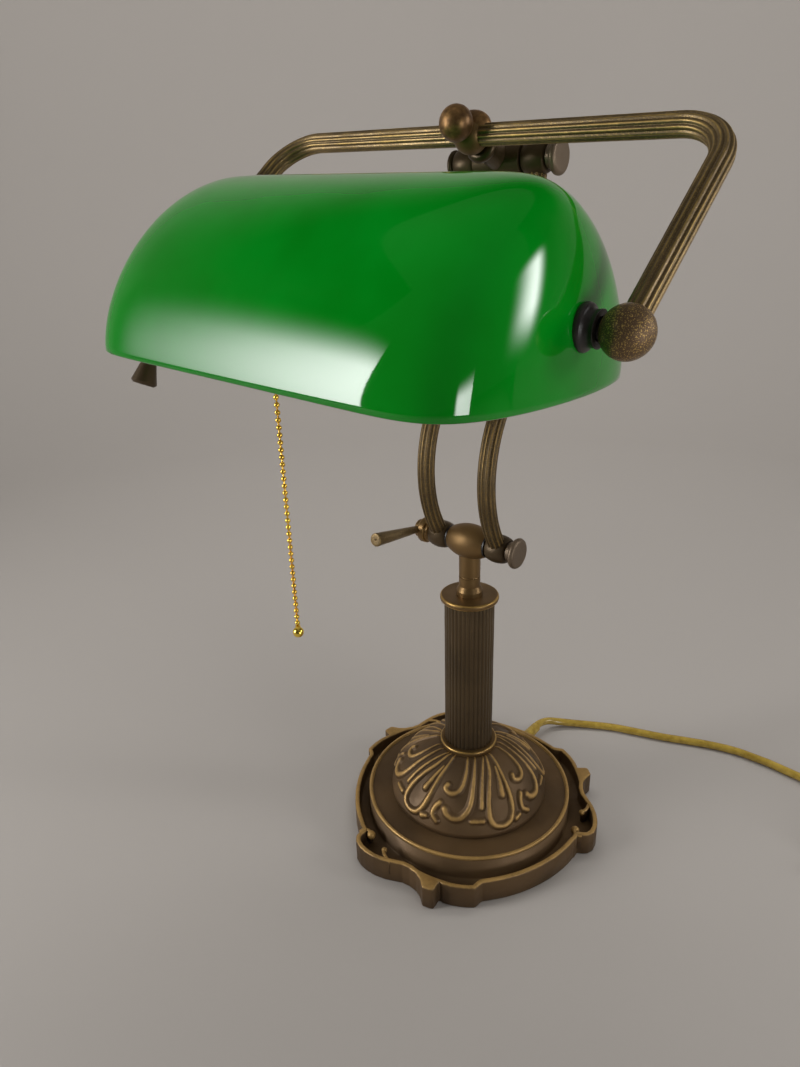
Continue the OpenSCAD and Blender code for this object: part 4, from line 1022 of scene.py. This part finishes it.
    def curls(self) -> list[bpy.types.Object]:
        """Makes the hooks curled inside the lobes of the fence, each with a ball at its end.

        Returns:
            The new pieces.
        """
        half = self.curl_wall / 2
        low = self.trough - 0.5
        top = self.fence_top - self.curl_sunk
        section = np.array([(-half, low), (half, low), (half, top - 0.9), (half * 0.8, top - 0.2), (0, top),
                            (-half * 0.8, top - 0.2), (-half, top - 0.9)])
        wear = np.array([0, 0, 0.3, 1, 1, 1, 0.3])
        made = []
        for group in range(self.groups):
            start = self.first_group + group * 360 / self.groups
            for index, (line, ball) in enumerate(self.curl_lines):
                turns, reaches = np.array(line).T
                path = smooth_path(polar(reaches, np.radians(start + turns), 0.0), parts=8)
                name = f"foot_curl_{group}_{index}"
                made.append(swept(name, path, section, np.tile(wear, len(path))))
                place = Matrix.Translation((*path[-1][:2], self.fence_top - ball))
                made.append(turned(f"{name}_ball", ball_profile(ball), place, sides=24))
        return made

    def ball(self) -> Spot:
        """Centre height and radius of the ball that the dome is cut from.

        Returns:
            Both, in millimetres.
        """
        low = self.drum_top + self.dome_edge
        high = self.drum_top + self.dome_height
        squares = self.dome_top_radius ** 2 + high ** 2 - self.dome_edge_radius ** 2 - low ** 2
        centre = squares / (2 * (high - low))
        return centre, math.hypot(self.dome_edge_radius, low - centre)

    def leaf_lines(self) -> list[tuple[np.ndarray, np.ndarray]]:
        """Middle lines of one group of leaves.

        Returns:
            The directions along each line, and the leaf's width at each.
        """
        lines = []
        for first, last, spots in self.leaf_group:
            turns, heights = np.radians(np.array(spots)).T
            path = unit(smooth_path(polar(np.cos(heights), turns, np.sin(heights)), parts=6))
            narrowing = np.minimum(np.sqrt(1 - path[:, 2] ** 2) / self.full_width_at, self.widest)
            lines.append((path, np.linspace(first, last, len(path)) * narrowing))
        return lines

    def relief(self, directions: np.ndarray, radius: float) -> tuple[np.ndarray, np.ndarray]:
        """How far the leaves stand out of the dome, and how much they are rubbed.

        Args:
            directions: Unit directions from the ball's centre.
            radius: Radius of the ball.

        Returns:
            Height in millimetres and wear of each direction.
        """
        height, wear = np.zeros(len(directions)), np.zeros(len(directions))
        sector = 2 * math.pi / self.leaves
        for line, widths in self.leaf_lines():
            for turn in (-sector, 0.0, sector):
                placed = line @ np.array(Matrix.Rotation(turn, 3, "Z")).T * radius
                for start, end, width, next_width in zip(placed[:-1], placed[1:], widths[:-1], widths[1:]):
                    along = end - start
                    from_start = directions * radius - start
                    share = np.clip(from_start @ along / (along @ along), 0, 1)
                    gap = np.linalg.norm(from_start - share[:, None] * along, axis=1)
                    wide = width + (next_width - width) * share
                    crest = np.maximum(1 - (2 * gap / wide) ** 2, 0) ** self.crest_roundness
                    height = np.maximum(height, crest * wide * self.leaf_rise)
                    wear = np.maximum(wear, crest)
        return height, wear ** self.wear_sharpness

    def dome(self) -> bpy.types.Object:
        """Makes the dome with its leaves raised out of the metal.

        Returns:
            The new piece.
        """
        centre, radius = self.ball()
        top = self.drum_top + self.dome_height
        low = math.asin((self.drum_top + self.dome_edge - centre) / radius)
        high = math.asin((top - centre) / radius)
        heights = np.linspace(low, high, self.dome_rows)[:, None]
        sector = np.linspace(0, 2 * np.pi / self.leaves, self.sector_points, endpoint=False)
        directions = polar(np.cos(heights), sector, np.sin(heights))
        raised, rubbed = (values.reshape(directions.shape[:2])
                          for values in self.relief(directions.reshape(-1, 3), radius))
        raised = raised * np.clip((high - heights) / math.radians(self.leaf_fade), 0, 1)
        reach = radius + np.tile(raised, (1, self.leaves))
        columns = self.sector_points * self.leaves
        turns = math.radians(self.first_leaf) + full_turn(columns)
        floor = self.drum_top + self.dome_gap
        rows = [polar(self.rod_hole, turns, floor), polar(self.dome_edge_radius, turns, floor),
                *polar(reach * np.cos(heights), turns, centre + reach * np.sin(heights)),
                polar(self.rod_hole, turns, top)]
        plain = np.zeros(columns)
        wear = np.concatenate([plain, plain, *np.tile(rubbed, (1, self.leaves)), plain])
        faces = grid_faces(len(rows), columns, close_rows=True)
        return mesh_object("dome_leaves", np.vstack(rows), faces, wear)

    def build(self) -> None:
        """Makes and dresses the foot."""
        self.dress(self.casting(), "cast_bronze", "base", ("foot_casting",), "bronze")
        for curl in self.curls():
            self.dress(curl, "cast_bronze", "base", (), "bronze")
        self.dress(self.dome(), "cast_bronze", "base", ("leaf_dome",), "bronze")
        self.keep("iron", "foot_weight", "bottom_cover", "tie_rod", "tie_nut")
        self.keep("felt", "felt_pad")


@dataclass
class Column(Assembly):
    """The fluted column with its ring, collar, pivot post and clamp; in millimetres and degrees."""

    foot_level: float = 60.0
    length: float = 111.2
    flutes: Reeding = Reeding(diameter=32.4, reeds=36, depth=0.8, fullness=0.45)
    gap_below: float = 0.1
    gap_above: float = 0.05
    shaft_points: int = 24
    ring_radius: float = 19.6
    ring_height: float = 3.8
    ring_hole: float = 15.0
    collar_radius: float = 18.95
    collar_height: float = 4.0
    rod_hole: float = 5.1
    pivot: float = 211.6
    nut: tuple[Spot, ...] = (
        (3.1, 28.7), (6.6, 28.7), (6.6, 30.8), (8.3, 31.2), (8.3, 35.6), (6.0, 36.4), (6.0, 39.8),
        (ON_AXIS, 39.8), (ON_AXIS, 36.0), (3.1, 36.0),
    )
    nut_rounding: float = 1.2
    lever_x: float = -37.8
    lever_rise: float = 9.0
    lever: tuple[Spot, ...] = ((ON_AXIS, 2.0), (2.2, 2.0), (4.2, 46.6), (ON_AXIS, 46.6))
    lever_rounding: float = 0.9

    def ring(self, name: str, node: str, low: float, radius: float, height: float, hole: float) -> None:
        """Makes and dresses one of the rings round the column's ends.

        Args:
            name: Name of the piece.
            node: CAD node it stands for.
            low: Level of its underside.
            radius: Its outer radius.
            height: Its height.
            hole: Radius of its hole.
        """
        profile = ((hole, low), (radius, low), (radius, low + height), (hole, low + height))
        ring = turned(name, rounded(profile, height * CORNER_SHARE, steps=9), Matrix.Identity(4))
        self.dress(ring, "worn_gold", "base", (node,))

    def clamp(self) -> None:
        """Makes the clamp's nut and the tapered lever that turns it."""
        pivot = Matrix.Translation((0, 0, self.pivot))
        nut_place = pivot @ Matrix.Rotation(-math.pi / 2, 4, "Y")
        nut = turned("clamp_nut", rounded(self.nut, self.nut_rounding), nut_place, sides=64)
        self.dress(nut, "worn_gold", "clamp", ("clamp_lever",), "bronze")
        root = pivot @ Matrix.Translation((self.lever_x, 0, 0))
        turn = Matrix.Rotation(math.radians(90 - self.lever_rise), 4, "X")
        lever = turned("clamp_lever_grip", rounded(self.lever, self.lever_rounding), root @ turn, sides=48)
        # The lever's grip is painted brighter than the clamp's bronze, as painted sheen
        self.dress(lever, "light_bronze", "clamp", (), "bronze")

    def build(self) -> None:
        """Makes and dresses the column."""
        top = self.foot_level + self.length
        levels = np.linspace(self.foot_level + self.gap_below, top - self.gap_above, self.shaft_points)
        path = np.outer(levels, UP)
        self.bar("column_shaft", path, self.flutes, "dark_bronze", "base", "column")
        self.ring("column_foot_ring", "column_ring", self.foot_level, self.ring_radius, self.ring_height,
                  self.ring_hole)
        self.ring("column_collar", "collar", top, self.collar_radius, self.collar_height, self.rod_hole)
        self.keep("worn_gold", "pivot_post")
        self.keep("pale_bronze", "pivot_bolt")
        self.keep("black_plastic", "friction_washer_left", "friction_washer_right")
        self.clamp()


@dataclass
class Arms(Assembly):
    """The twin swan-neck arms with their eyes and the upper bolt; in millimetres."""

    pivot: float = 211.6
    across: float = 21.4
    reeding: Reeding = Reeding()
    low_radius: float = 72.0
    low_rise: float = 45.0
    rise: float = 212.7
    back: float = 28.5
    start: float = 6.0
    low_points: int = 40
    high_points: int = 48
    eye_length: float = 14.0
    eye_bore: float = 3.1
    # Radius of an eye at its ends, halfway and in the middle
    eye_bulge: Point = (7.3, 8.5, 8.9)
    eye_rounding: float = 2.4

    def path(self) -> np.ndarray:
        """Middle line of an arm in the YZ plane, from just inside the lower eye to just inside the upper one.

        Returns:
            The line's points, seen from the pivot.
        """
        low_across = math.sqrt(self.low_radius ** 2 - self.low_rise ** 2)
        across = low_across - self.back
        rise = self.rise - self.low_rise
        high_radius = (across ** 2 + rise ** 2 - self.low_radius ** 2) / (2 * (self.low_radius - across))
        turn = math.atan2(rise, high_radius + across)
        first = math.asin(self.low_rise / self.low_radius)
        low = np.linspace(math.pi + first - self.start / self.low_radius, math.pi - turn, self.low_points)
        high = np.linspace(-turn, -self.start / high_radius, self.high_points)[1:]
        lower = polar(self.low_radius, low, 0.0)[:, :2] + (low_across, self.low_rise)
        upper = polar(high_radius, high, 0.0)[:, :2] + (self.back - high_radius, self.rise)
        return np.vstack([lower, upper])

    def eyes(self, side: Side) -> None:
        """Makes and dresses the bulged eyes at both ends of one arm.

        Args:
            side: The arm's side.
        """
        half = self.eye_length / 2
        end, between, middle = self.eye_bulge
        spots = ((self.eye_bore, -half), (end, -half), (between, -half / 2), (middle, 0.0),
                 (between, half / 2), (end, half), (self.eye_bore, half))
        corners = tuple((radius, self.across + along) for radius, along in spots)
        profile = rounded(corners, self.eye_rounding)
        turn = Matrix.Rotation(side.value * math.pi / 2, 4, "Y")
        for level, back, height in (("lower", 0.0, 0.0), ("upper", self.back, self.rise)):
            place = Matrix.Translation((0, back, self.pivot + height)) @ turn
            eye = turned(f"{level}_eye_bulged_{side.word}", profile, place, sides=64)
            self.dress(eye, "dark_bronze", "arms", (f"{level}_eye_{side.word}",), "bronze")

    def build(self) -> None:
        """Makes and dresses the arms."""
        back, up = self.path().T
        for side in Side:
            path = np.stack([np.full(len(back), side.value * self.across), back, self.pivot + up], -1)
            self.bar(f"arm_reeded_{side.word}", path, self.reeding, "bronze", "arms", f"arm_{side.word}")
            self.eyes(side)
        self.keep("pale_bronze", "head_bolt")
        self.keep("dark_bronze", "head_nut")


@dataclass
class Yoke(Assembly):
    """The head block and the yoke that carries the shade; in millimetres and degrees."""

    hub: Point = (0.0, -2.0, 434.4)
    lobe: Point = (0.0, -0.9, 438.4)
    lobe_radius: float = 7.45
    lobe_stretch: float = 1.4
    lean: float = 3.3
    drop: float = 40.3
    leg_x: float = 130.2
    leg: float = 113.0
    bend: float = 24.0
    seat: float = 6.0
    reeding: Reeding = Reeding()
    leg_points: int = 24
    bend_points: int = 22
    bar_points: int = 40

    def at_hub(self) -> Matrix:
        """The hub's frame, leaning with the yoke, in millimetres."""
        return Matrix.Translation(self.hub) @ Matrix.Rotation(math.radians(self.lean), 4, "Y")

    def at_axis(self) -> Matrix:
        """The frame on the shade's axis, with X along it, in millimetres."""
        drop = math.radians(self.drop)
        return self.at_hub() @ Matrix.Translation((0, -self.leg * math.cos(drop), -self.leg * math.sin(drop)))

    def bow_path(self) -> np.ndarray:
        """Middle line of the bow, from one ball over the bar to the other.

        Returns:
            The line's points, in millimetres.
        """
        straight = self.leg_x - self.bend
        right = [(self.leg_x, -y) for y in np.linspace(self.leg - self.seat, self.bend, self.leg_points)]
        for angle in np.radians(np.linspace(0, 90, self.bend_points))[1:]:
            right.append((straight + self.bend * math.cos(angle), -self.bend + self.bend * math.sin(angle)))
        bar = [(x, 0.0) for x in np.linspace(straight, -straight, self.bar_points)[1:-1]]
        left = [(-x, y) for x, y in reversed(right)]
        place = self.at_hub() @ Matrix.Rotation(math.radians(self.drop), 4, "X")
        return np.array([place @ Vector((x, y, 0)) for x, y in right + bar + left])

    def build(self) -> None:
        """Makes and dresses the head and the yoke."""
        # The yoke is painted brighter than the arms' bronze, as painted sheen
        self.bar("yoke_reeded", self.bow_path(), self.reeding, "light_bronze", "yoke", "yoke_bow")
        self.keep("flecked_bronze", "yoke_ball_left", "yoke_ball_right")
        place = Matrix.Translation(self.lobe) @ Matrix.Rotation(math.pi / 2, 4, "Y")
        ball = ball_profile(self.lobe_radius, steps=24)
        profile = [(radius, self.lobe_stretch * along, wear) for radius, along, wear in ball]
        lobe = turned("hub_lobe", profile, place, sides=48)
        self.dress(lobe, "rubbed_gold", "yoke", (), "worn_gold")
        self.keep("dark_bronze", "head_block")
        self.keep("worn_gold", "hub_ball")
        self.keep("rubbed_gold", "hub_cap")
        self.keep("iron", "hub_bolt", "pivot_pin_left", "pivot_pin_right", "pin_nut")


@dataclass
class Shade(Assembly):
    """The glass shade with its bushes, handle and light; in millimetres and degrees."""

    yoke: Yoke
    half_sizes: Point = (114.5, 78.4, 79.15)
    # Powers of the loaf's rule: how square its ends are, how they meet the barrel, how round the barrel is
    ends: float = 11.39
    rise: float = 2.05
    roundness: float = 1.69
    crown: float = 0.08
    halvings: int = 40
    glass_wall: float = 4.0
    lip: float = 0.9
    # Share of the way from the outer to the inner edge, and height, of the lip's rows
    lip_rows: tuple[Spot, ...] = ((0.15, 0.3), (0.5, 0.0), (0.85, 0.3))
    tilt: float = 1.5
    rim_drop: float = 27.3
    columns: int = 320
    rows: int = 96
    row_ease: float = 0.9
    hole: float = 6.5
    drill_past: float = 5.0
    bush: tuple[Spot, ...] = (
        (4.25, 104.0), (6.2, 104.0), (6.2, 112.4), (9.3, 112.4), (9.3, 115.2), (7.4, 116.4), (6.9, 118.4),
        (7.6, 120.2), (4.25, 120.2),
    )
    bush_rounding: float = 1.8
    beads: int = 38
    bead_pitch: float = 4.2
    bead_radius: float = 1.6
    wire_radius: float = 0.5

    def surface(self, inset: float) -> np.ndarray:
        """Rows of points on the loaf's skin, from the rim to the crown.

        Args:
            inset: How far the skin is drawn in.

        Returns:
            Points by row and column, in the rim's frame.
        """
        tall = (np.linspace(0, 1, self.rows) ** self.row_ease * math.pi / 2)[:, None]
        directions = polar(np.cos(tall), full_turn(self.columns), np.sin(tall))
        low, high = np.zeros(directions.shape[:2]), np.full(directions.shape[:2], 2.0)
        for _ in range(self.halvings):
            middle = (low + high) / 2
            along, across, up = np.moveaxis(np.abs(directions) * middle[..., None], -1, 0)
            across = np.sqrt(across ** 2 + self.crown ** 2) - self.crown * np.exp(-across / self.crown)
            barrel = (across ** self.roundness + up ** self.roundness) ** (self.rise / self.roundness)
            outside = along ** self.ends + barrel > 1
            low, high = np.where(outside, low, middle), np.where(outside, middle, high)
        skin = directions * low[..., None] * (np.array(self.half_sizes) - inset)
        skin[..., 2] += self.lip
        return skin

    def glass(self) -> bpy.types.Object:
        """Makes the cased glass: green outside, white inside, with a hole at each end for its bush.

        Returns:
            The new piece.
        """
        axis = self.yoke.at_axis()
        rim = axis @ Matrix.Rotation(math.radians(-self.tilt), 4, "X")
        rim = rim @ Matrix.Translation((0, 0, -self.rim_drop))
        outer, inner = self.surface(0.0), self.surface(self.glass_wall)
        lip = []
        for share, height in self.lip_rows:
            ring = outer[0] * (1 - share) + inner[0] * share
            ring[:, 2] = height
            lip.append(ring)
        rows = [*outer[::-1], *lip, *inner]
        points = put(np.vstack(rows), rim)
        glass = mesh_object("shade_cased_glass", points, grid_faces(len(rows), self.columns))
        for finish in ("green_glass", "white_lining"):
            glass.data.materials.append(self.kit.finishes[finish])
        centre = np.array(rim.translation) * MM
        for face in glass.data.polygons:
            inward = np.array(face.normal) @ (np.array(face.center) - centre) < 0
            face.material_index = 1 if inward else 0
        self.bore(glass)
        return glass

    def bore(self, glass: bpy.types.Object) -> None:
        """Cuts the bushes' holes through both ends of the glass.

        Args:
            glass: The glass.
        """
        reach = self.half_sizes[0] + self.drill_past
        profile = [(ON_AXIS, -reach, 0.0), (self.hole, -reach, 0.0), (self.hole, reach, 0.0),
                   (ON_AXIS, reach, 0.0)]
        place = self.yoke.at_axis() @ Matrix.Rotation(math.pi / 2, 4, "Y")
        drill = turned("bush_drill", profile, place, sides=64)
        cut = glass.modifiers.new("bush_holes", "BOOLEAN")
        cut.operation = "DIFFERENCE"
        cut.object = drill
        keep_result(glass, cut)
        bpy.data.objects.remove(drill)

    def bushes(self) -> None:
        """Makes and dresses the flared bushes between the glass and the yoke's balls."""
        for side in Side:
            place = self.yoke.at_axis() @ Matrix.Rotation(side.value * math.pi / 2, 4, "Y")
            profile = rounded(self.bush, self.bush_rounding, steps=6)
            bush = turned(f"bush_turned_{side.word}", profile, place, sides=64)
            self.dress(bush, "black_plastic", "shade", (f"bush_{side.word}",))

    def chain(self) -> None:
        """Makes and dresses the bead chain, hanging where the CAD's chain hangs."""
        low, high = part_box("pull_chain")
        top = Vector(((low[0] + high[0]) / 2, (low[1] + high[1]) / 2, high[2] - self.bead_radius * MM))
        chain = self.kit.beads.bake("chain_beads", bpy.data.meshes.new("chain_beads"), {
            "Beads": self.beads, "Pitch": self.bead_pitch * MM, "Bead Radius": self.bead_radius * MM,
            "Wire Radius": self.wire_radius * MM, "Top": top, "Finish": self.kit.finishes["bright_brass"]})
        self.dress(chain, "bright_brass", "chain", ("pull_chain",))

    def build(self) -> None:
        """Makes and dresses the shade and the light."""
        self.dress(self.glass(), "green_glass", "shade", ("shade_glass",))
        self.bushes()
        self.keep("black_plastic", "bush_nut_left", "bush_nut_right")
        self.keep("dark_bronze", "shade_handle")
        self.keep("worn_gold", "holder_cap", "holder_shell")
        self.keep("porcelain", "holder_insert")
        self.keep("steel", "bulb_cap")
        self.keep("bulb_glass", "bulb_glass")
        self.keep("bright_brass", "switch_bell", "switch_link", "chain_ball")
        self.chain()


@dataclass(frozen=True)
class SoftLight:
    """A soft light: where it hangs, how large and bright it is, and how it fades at its edges."""

    name: str
    target: Point
    azimuth: float
    elevation: float
    distance: float
    width: float
    height: float
    level: float
    fades: tuple[float, float, float, float] = (0.0, 0.0, 0.0, 0.0)
    spread: float = 180.0
    mirrored: bool = True

    def beam(self) -> float:
        """Share of the power that keeps a narrowed light's face as bright, seen straight on.

        Returns:
            The share, which is 1 for a light that isn't narrowed.
        """
        half = math.radians(self.spread / 2)
        return 1.0 if self.spread == 180.0 else 1 - half / math.tan(half)

    def build(self) -> None:
        """Hangs the light, facing its target."""
        data = bpy.data.lights.new(self.name, "AREA")
        data.shape = "RECTANGLE"
        data.size = self.width
        data.size_y = self.height
        data.energy = self.level * math.pi * self.width * self.height * self.beam()
        data.spread = math.radians(self.spread)
        if any(self.fades):
            data.use_nodes = True
            self.fade(data.node_tree)
        turn, rise = math.radians(self.azimuth), math.radians(self.elevation)
        toward = Vector((math.cos(rise) * math.cos(turn), math.cos(rise) * math.sin(turn), math.sin(rise)))
        light = link(self.name, data)
        light.location = Vector(self.target) + toward * self.distance
        light.rotation_euler = toward.to_track_quat("Z", "Y").to_euler()
        light.visible_glossy = self.mirrored
        LOG.info("light %s", self.name)

    def fade(self, tree: bpy.types.NodeTree) -> None:
        """Dims the light's face towards its left, right, lower and upper edge.

        Args:
            tree: The light's own node tree.
        """
        sheet = ShaderSheet(tree)
        spot = sheet.step("ShaderNodeNewGeometry").outputs["Parametric"]
        face = sheet.step("ShaderNodeSeparateXYZ", {"Vector": spot})
        left, right, low, high = self.fades
        strength = 1.0
        for axis, start, share in (("X", 0.0, left), ("X", 1.0, -right), ("Y", 0.0, low), ("Y", 1.0, -high)):
            if share:
                slope = sheet.maths("POWER", sheet.ramp(face.outputs[axis], start, start + share), 2.0)
                strength = sheet.maths("MULTIPLY", strength, slope)
        sheet.feed(tree.nodes["Emission"].inputs["Strength"], strength)


@dataclass
class Studio:
    """The plain floor, the cove behind the lamp and the soft lights; in metres and degrees."""

    SHADE: ClassVar[Point] = (0.0, -0.12, 0.36)
    WALL: ClassVar[Point] = (-1.1, 1.4, 0.9)
    LIGHTS: ClassVar[tuple[SoftLight, ...]] = (
        SoftLight("key_left", SHADE, -142.0, 15.0, 1.3, 0.89, 1.18, 20.0, (1.0, 0.0, 0.0, 0.42), 120.0),
        SoftLight("window_right", SHADE, 31.0, 11.0, 1.3, 0.5, 0.78, 17.0, (0.75, 0.3, 0.4, 0.25), 120.0),
        SoftLight("window_side", SHADE, -8.0, -4.0, 1.0, 0.34, 0.36, 13.0, (0.3, 0.0, 0.0, 0.5), 120.0),
        SoftLight("top_fill", SHADE, -20.0, 64.0, 1.5, 1.1, 1.1, 1.5, mirrored=False),
        SoftLight("wall_wash", WALL, -50.0, 50.0, 1.6, 2.6, 1.0, 4.3, mirrored=False),
    )
    grey: Colour = srgb(171, 165, 159)
    # Grey that the paper is painted towards at the cove's top and ends, as painted shade
    far_grey: Colour = srgb(92, 90, 88)
    air: Colour = srgb(150, 148, 146)
    air_level: float = 0.22
    floor_middle: float = 0.001
    floor_radius: float = 3.2
    floor_points: int = 72
    cove_start: float = 1.1
    cove_bend: float = 1.1
    cove_top: float = 3.4
    cove_from: float = 30.0
    cove_to: float = 225.0
    bend_points: int = 25
    cove_points: int = 66
    # The paper is painted darker, as painted shade, over these heights, and towards the cove's ends over
    # these distances from its middle
    top_fade: Spot = (1.1, 2.9)
    end_fade: Spot = (0.9, -0.2)
    end_rise: Spot = (0.02, 0.6)
    paper_scale: float = 2.0
    paper_depth: float = 0.97
    paper_roughness: float = 0.9
    paper_gloss: float = 0.1

    def floor(self) -> bpy.types.Object:
        """Makes the round floor and the cove that bends up out of it behind the lamp.

        Returns:
            The floor with its cove.
        """
        rings = [(radius, 0.0) for radius in (self.floor_middle, self.cove_start, self.floor_radius)]
        bend = np.radians(np.linspace(0, 90, self.bend_points))
        cove = [(self.cove_start + self.cove_bend * math.sin(angle), self.cove_bend * (1 - math.cos(angle)))
                for angle in bend]
        cove.append((self.cove_start + self.cove_bend, self.cove_top))
        behind = np.radians(np.linspace(self.cove_from, self.cove_to, self.cove_points))
        points, faces = [], []
        for profile, turns, closed in ((rings, full_turn(self.floor_points), True), (cove, behind, False)):
            first = len(points)
            for radius, height in profile:
                points.extend(polar(radius, turns, height).tolist())
            grid = grid_faces(len(profile), len(turns), close_columns=closed)
            faces.extend(tuple(first + corner for corner in face) for face in grid)
        mesh = bpy.data.meshes.new("studio_floor")
        mesh.from_pydata(points, [], faces)
        mesh.shade_smooth()
        mesh.materials.append(self.paper())
        return link("studio_floor", mesh)

    def paper(self) -> bpy.types.Material:
        """Makes the dull, pale paper of the floor and the cove, painted darker towards the cove's top and
        ends as painted shade.

        Returns:
            The new material.
        """
        material, sheet, shader = new_material("studio_paper")
        place = sheet.step("ShaderNodeTexCoord").outputs["Object"]
        rise = sheet.step("ShaderNodeSeparateXYZ", {"Vector": place}).outputs["Z"]
        middle = math.radians((self.cove_from + self.cove_to) / 2)
        back = sheet.step("ShaderNodeVectorMath", {0: place, 1: (math.cos(middle), math.sin(middle), 0)},
                          operation="DOT_PRODUCT").outputs["Value"]
        # Painted shade: the paper is painted darker at the cove's ends and top, where less light reaches
        ends = sheet.maths("MULTIPLY", sheet.ramp(back, *self.end_fade), sheet.ramp(rise, *self.end_rise))
        painted_shade = sheet.maths("MAXIMUM", ends, sheet.ramp(rise, *self.top_fade))
        deep = tuple(value * self.paper_depth for value in self.grey)
        plain = sheet.mix(sheet.noise(place, self.paper_scale), deep, self.grey)
        sheet.feed(shader.inputs["Base Color"], sheet.mix(painted_shade, plain, self.far_grey))
        shader.inputs["Roughness"].default_value = self.paper_roughness
        shader.inputs["Specular IOR Level"].default_value = self.paper_gloss
        return material

    def build(self) -> None:
        """Makes the floor, the lights and the world."""
        self.floor()
        for light in self.LIGHTS:
            light.build()
        world = bpy.data.worlds.new("studio_air")
        bpy.context.scene.world = world
        world.use_nodes = True
        background = world.node_tree.nodes["Background"]
        background.inputs["Color"].default_value = (*self.air, 1.0)
        background.inputs["Strength"].default_value = self.air_level


def main() -> None:
    """Builds the lamp, from the camera and the cord to the light."""
    logging.basicConfig(level=logging.INFO, format="%(message)s")
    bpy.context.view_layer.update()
    kit = Kit(Finishes(), reeded_tree(), bead_tree())
    Viewpoint().build()
    yoke = Yoke(kit)
    for assembly in (Cord(kit), Foot(kit), Column(kit), Arms(kit), yoke, Shade(kit, yoke)):
        assembly.build()
    Studio().build()
    bpy.context.scene.view_settings.view_transform = "Standard"


if __name__ == "__main__":
    main()
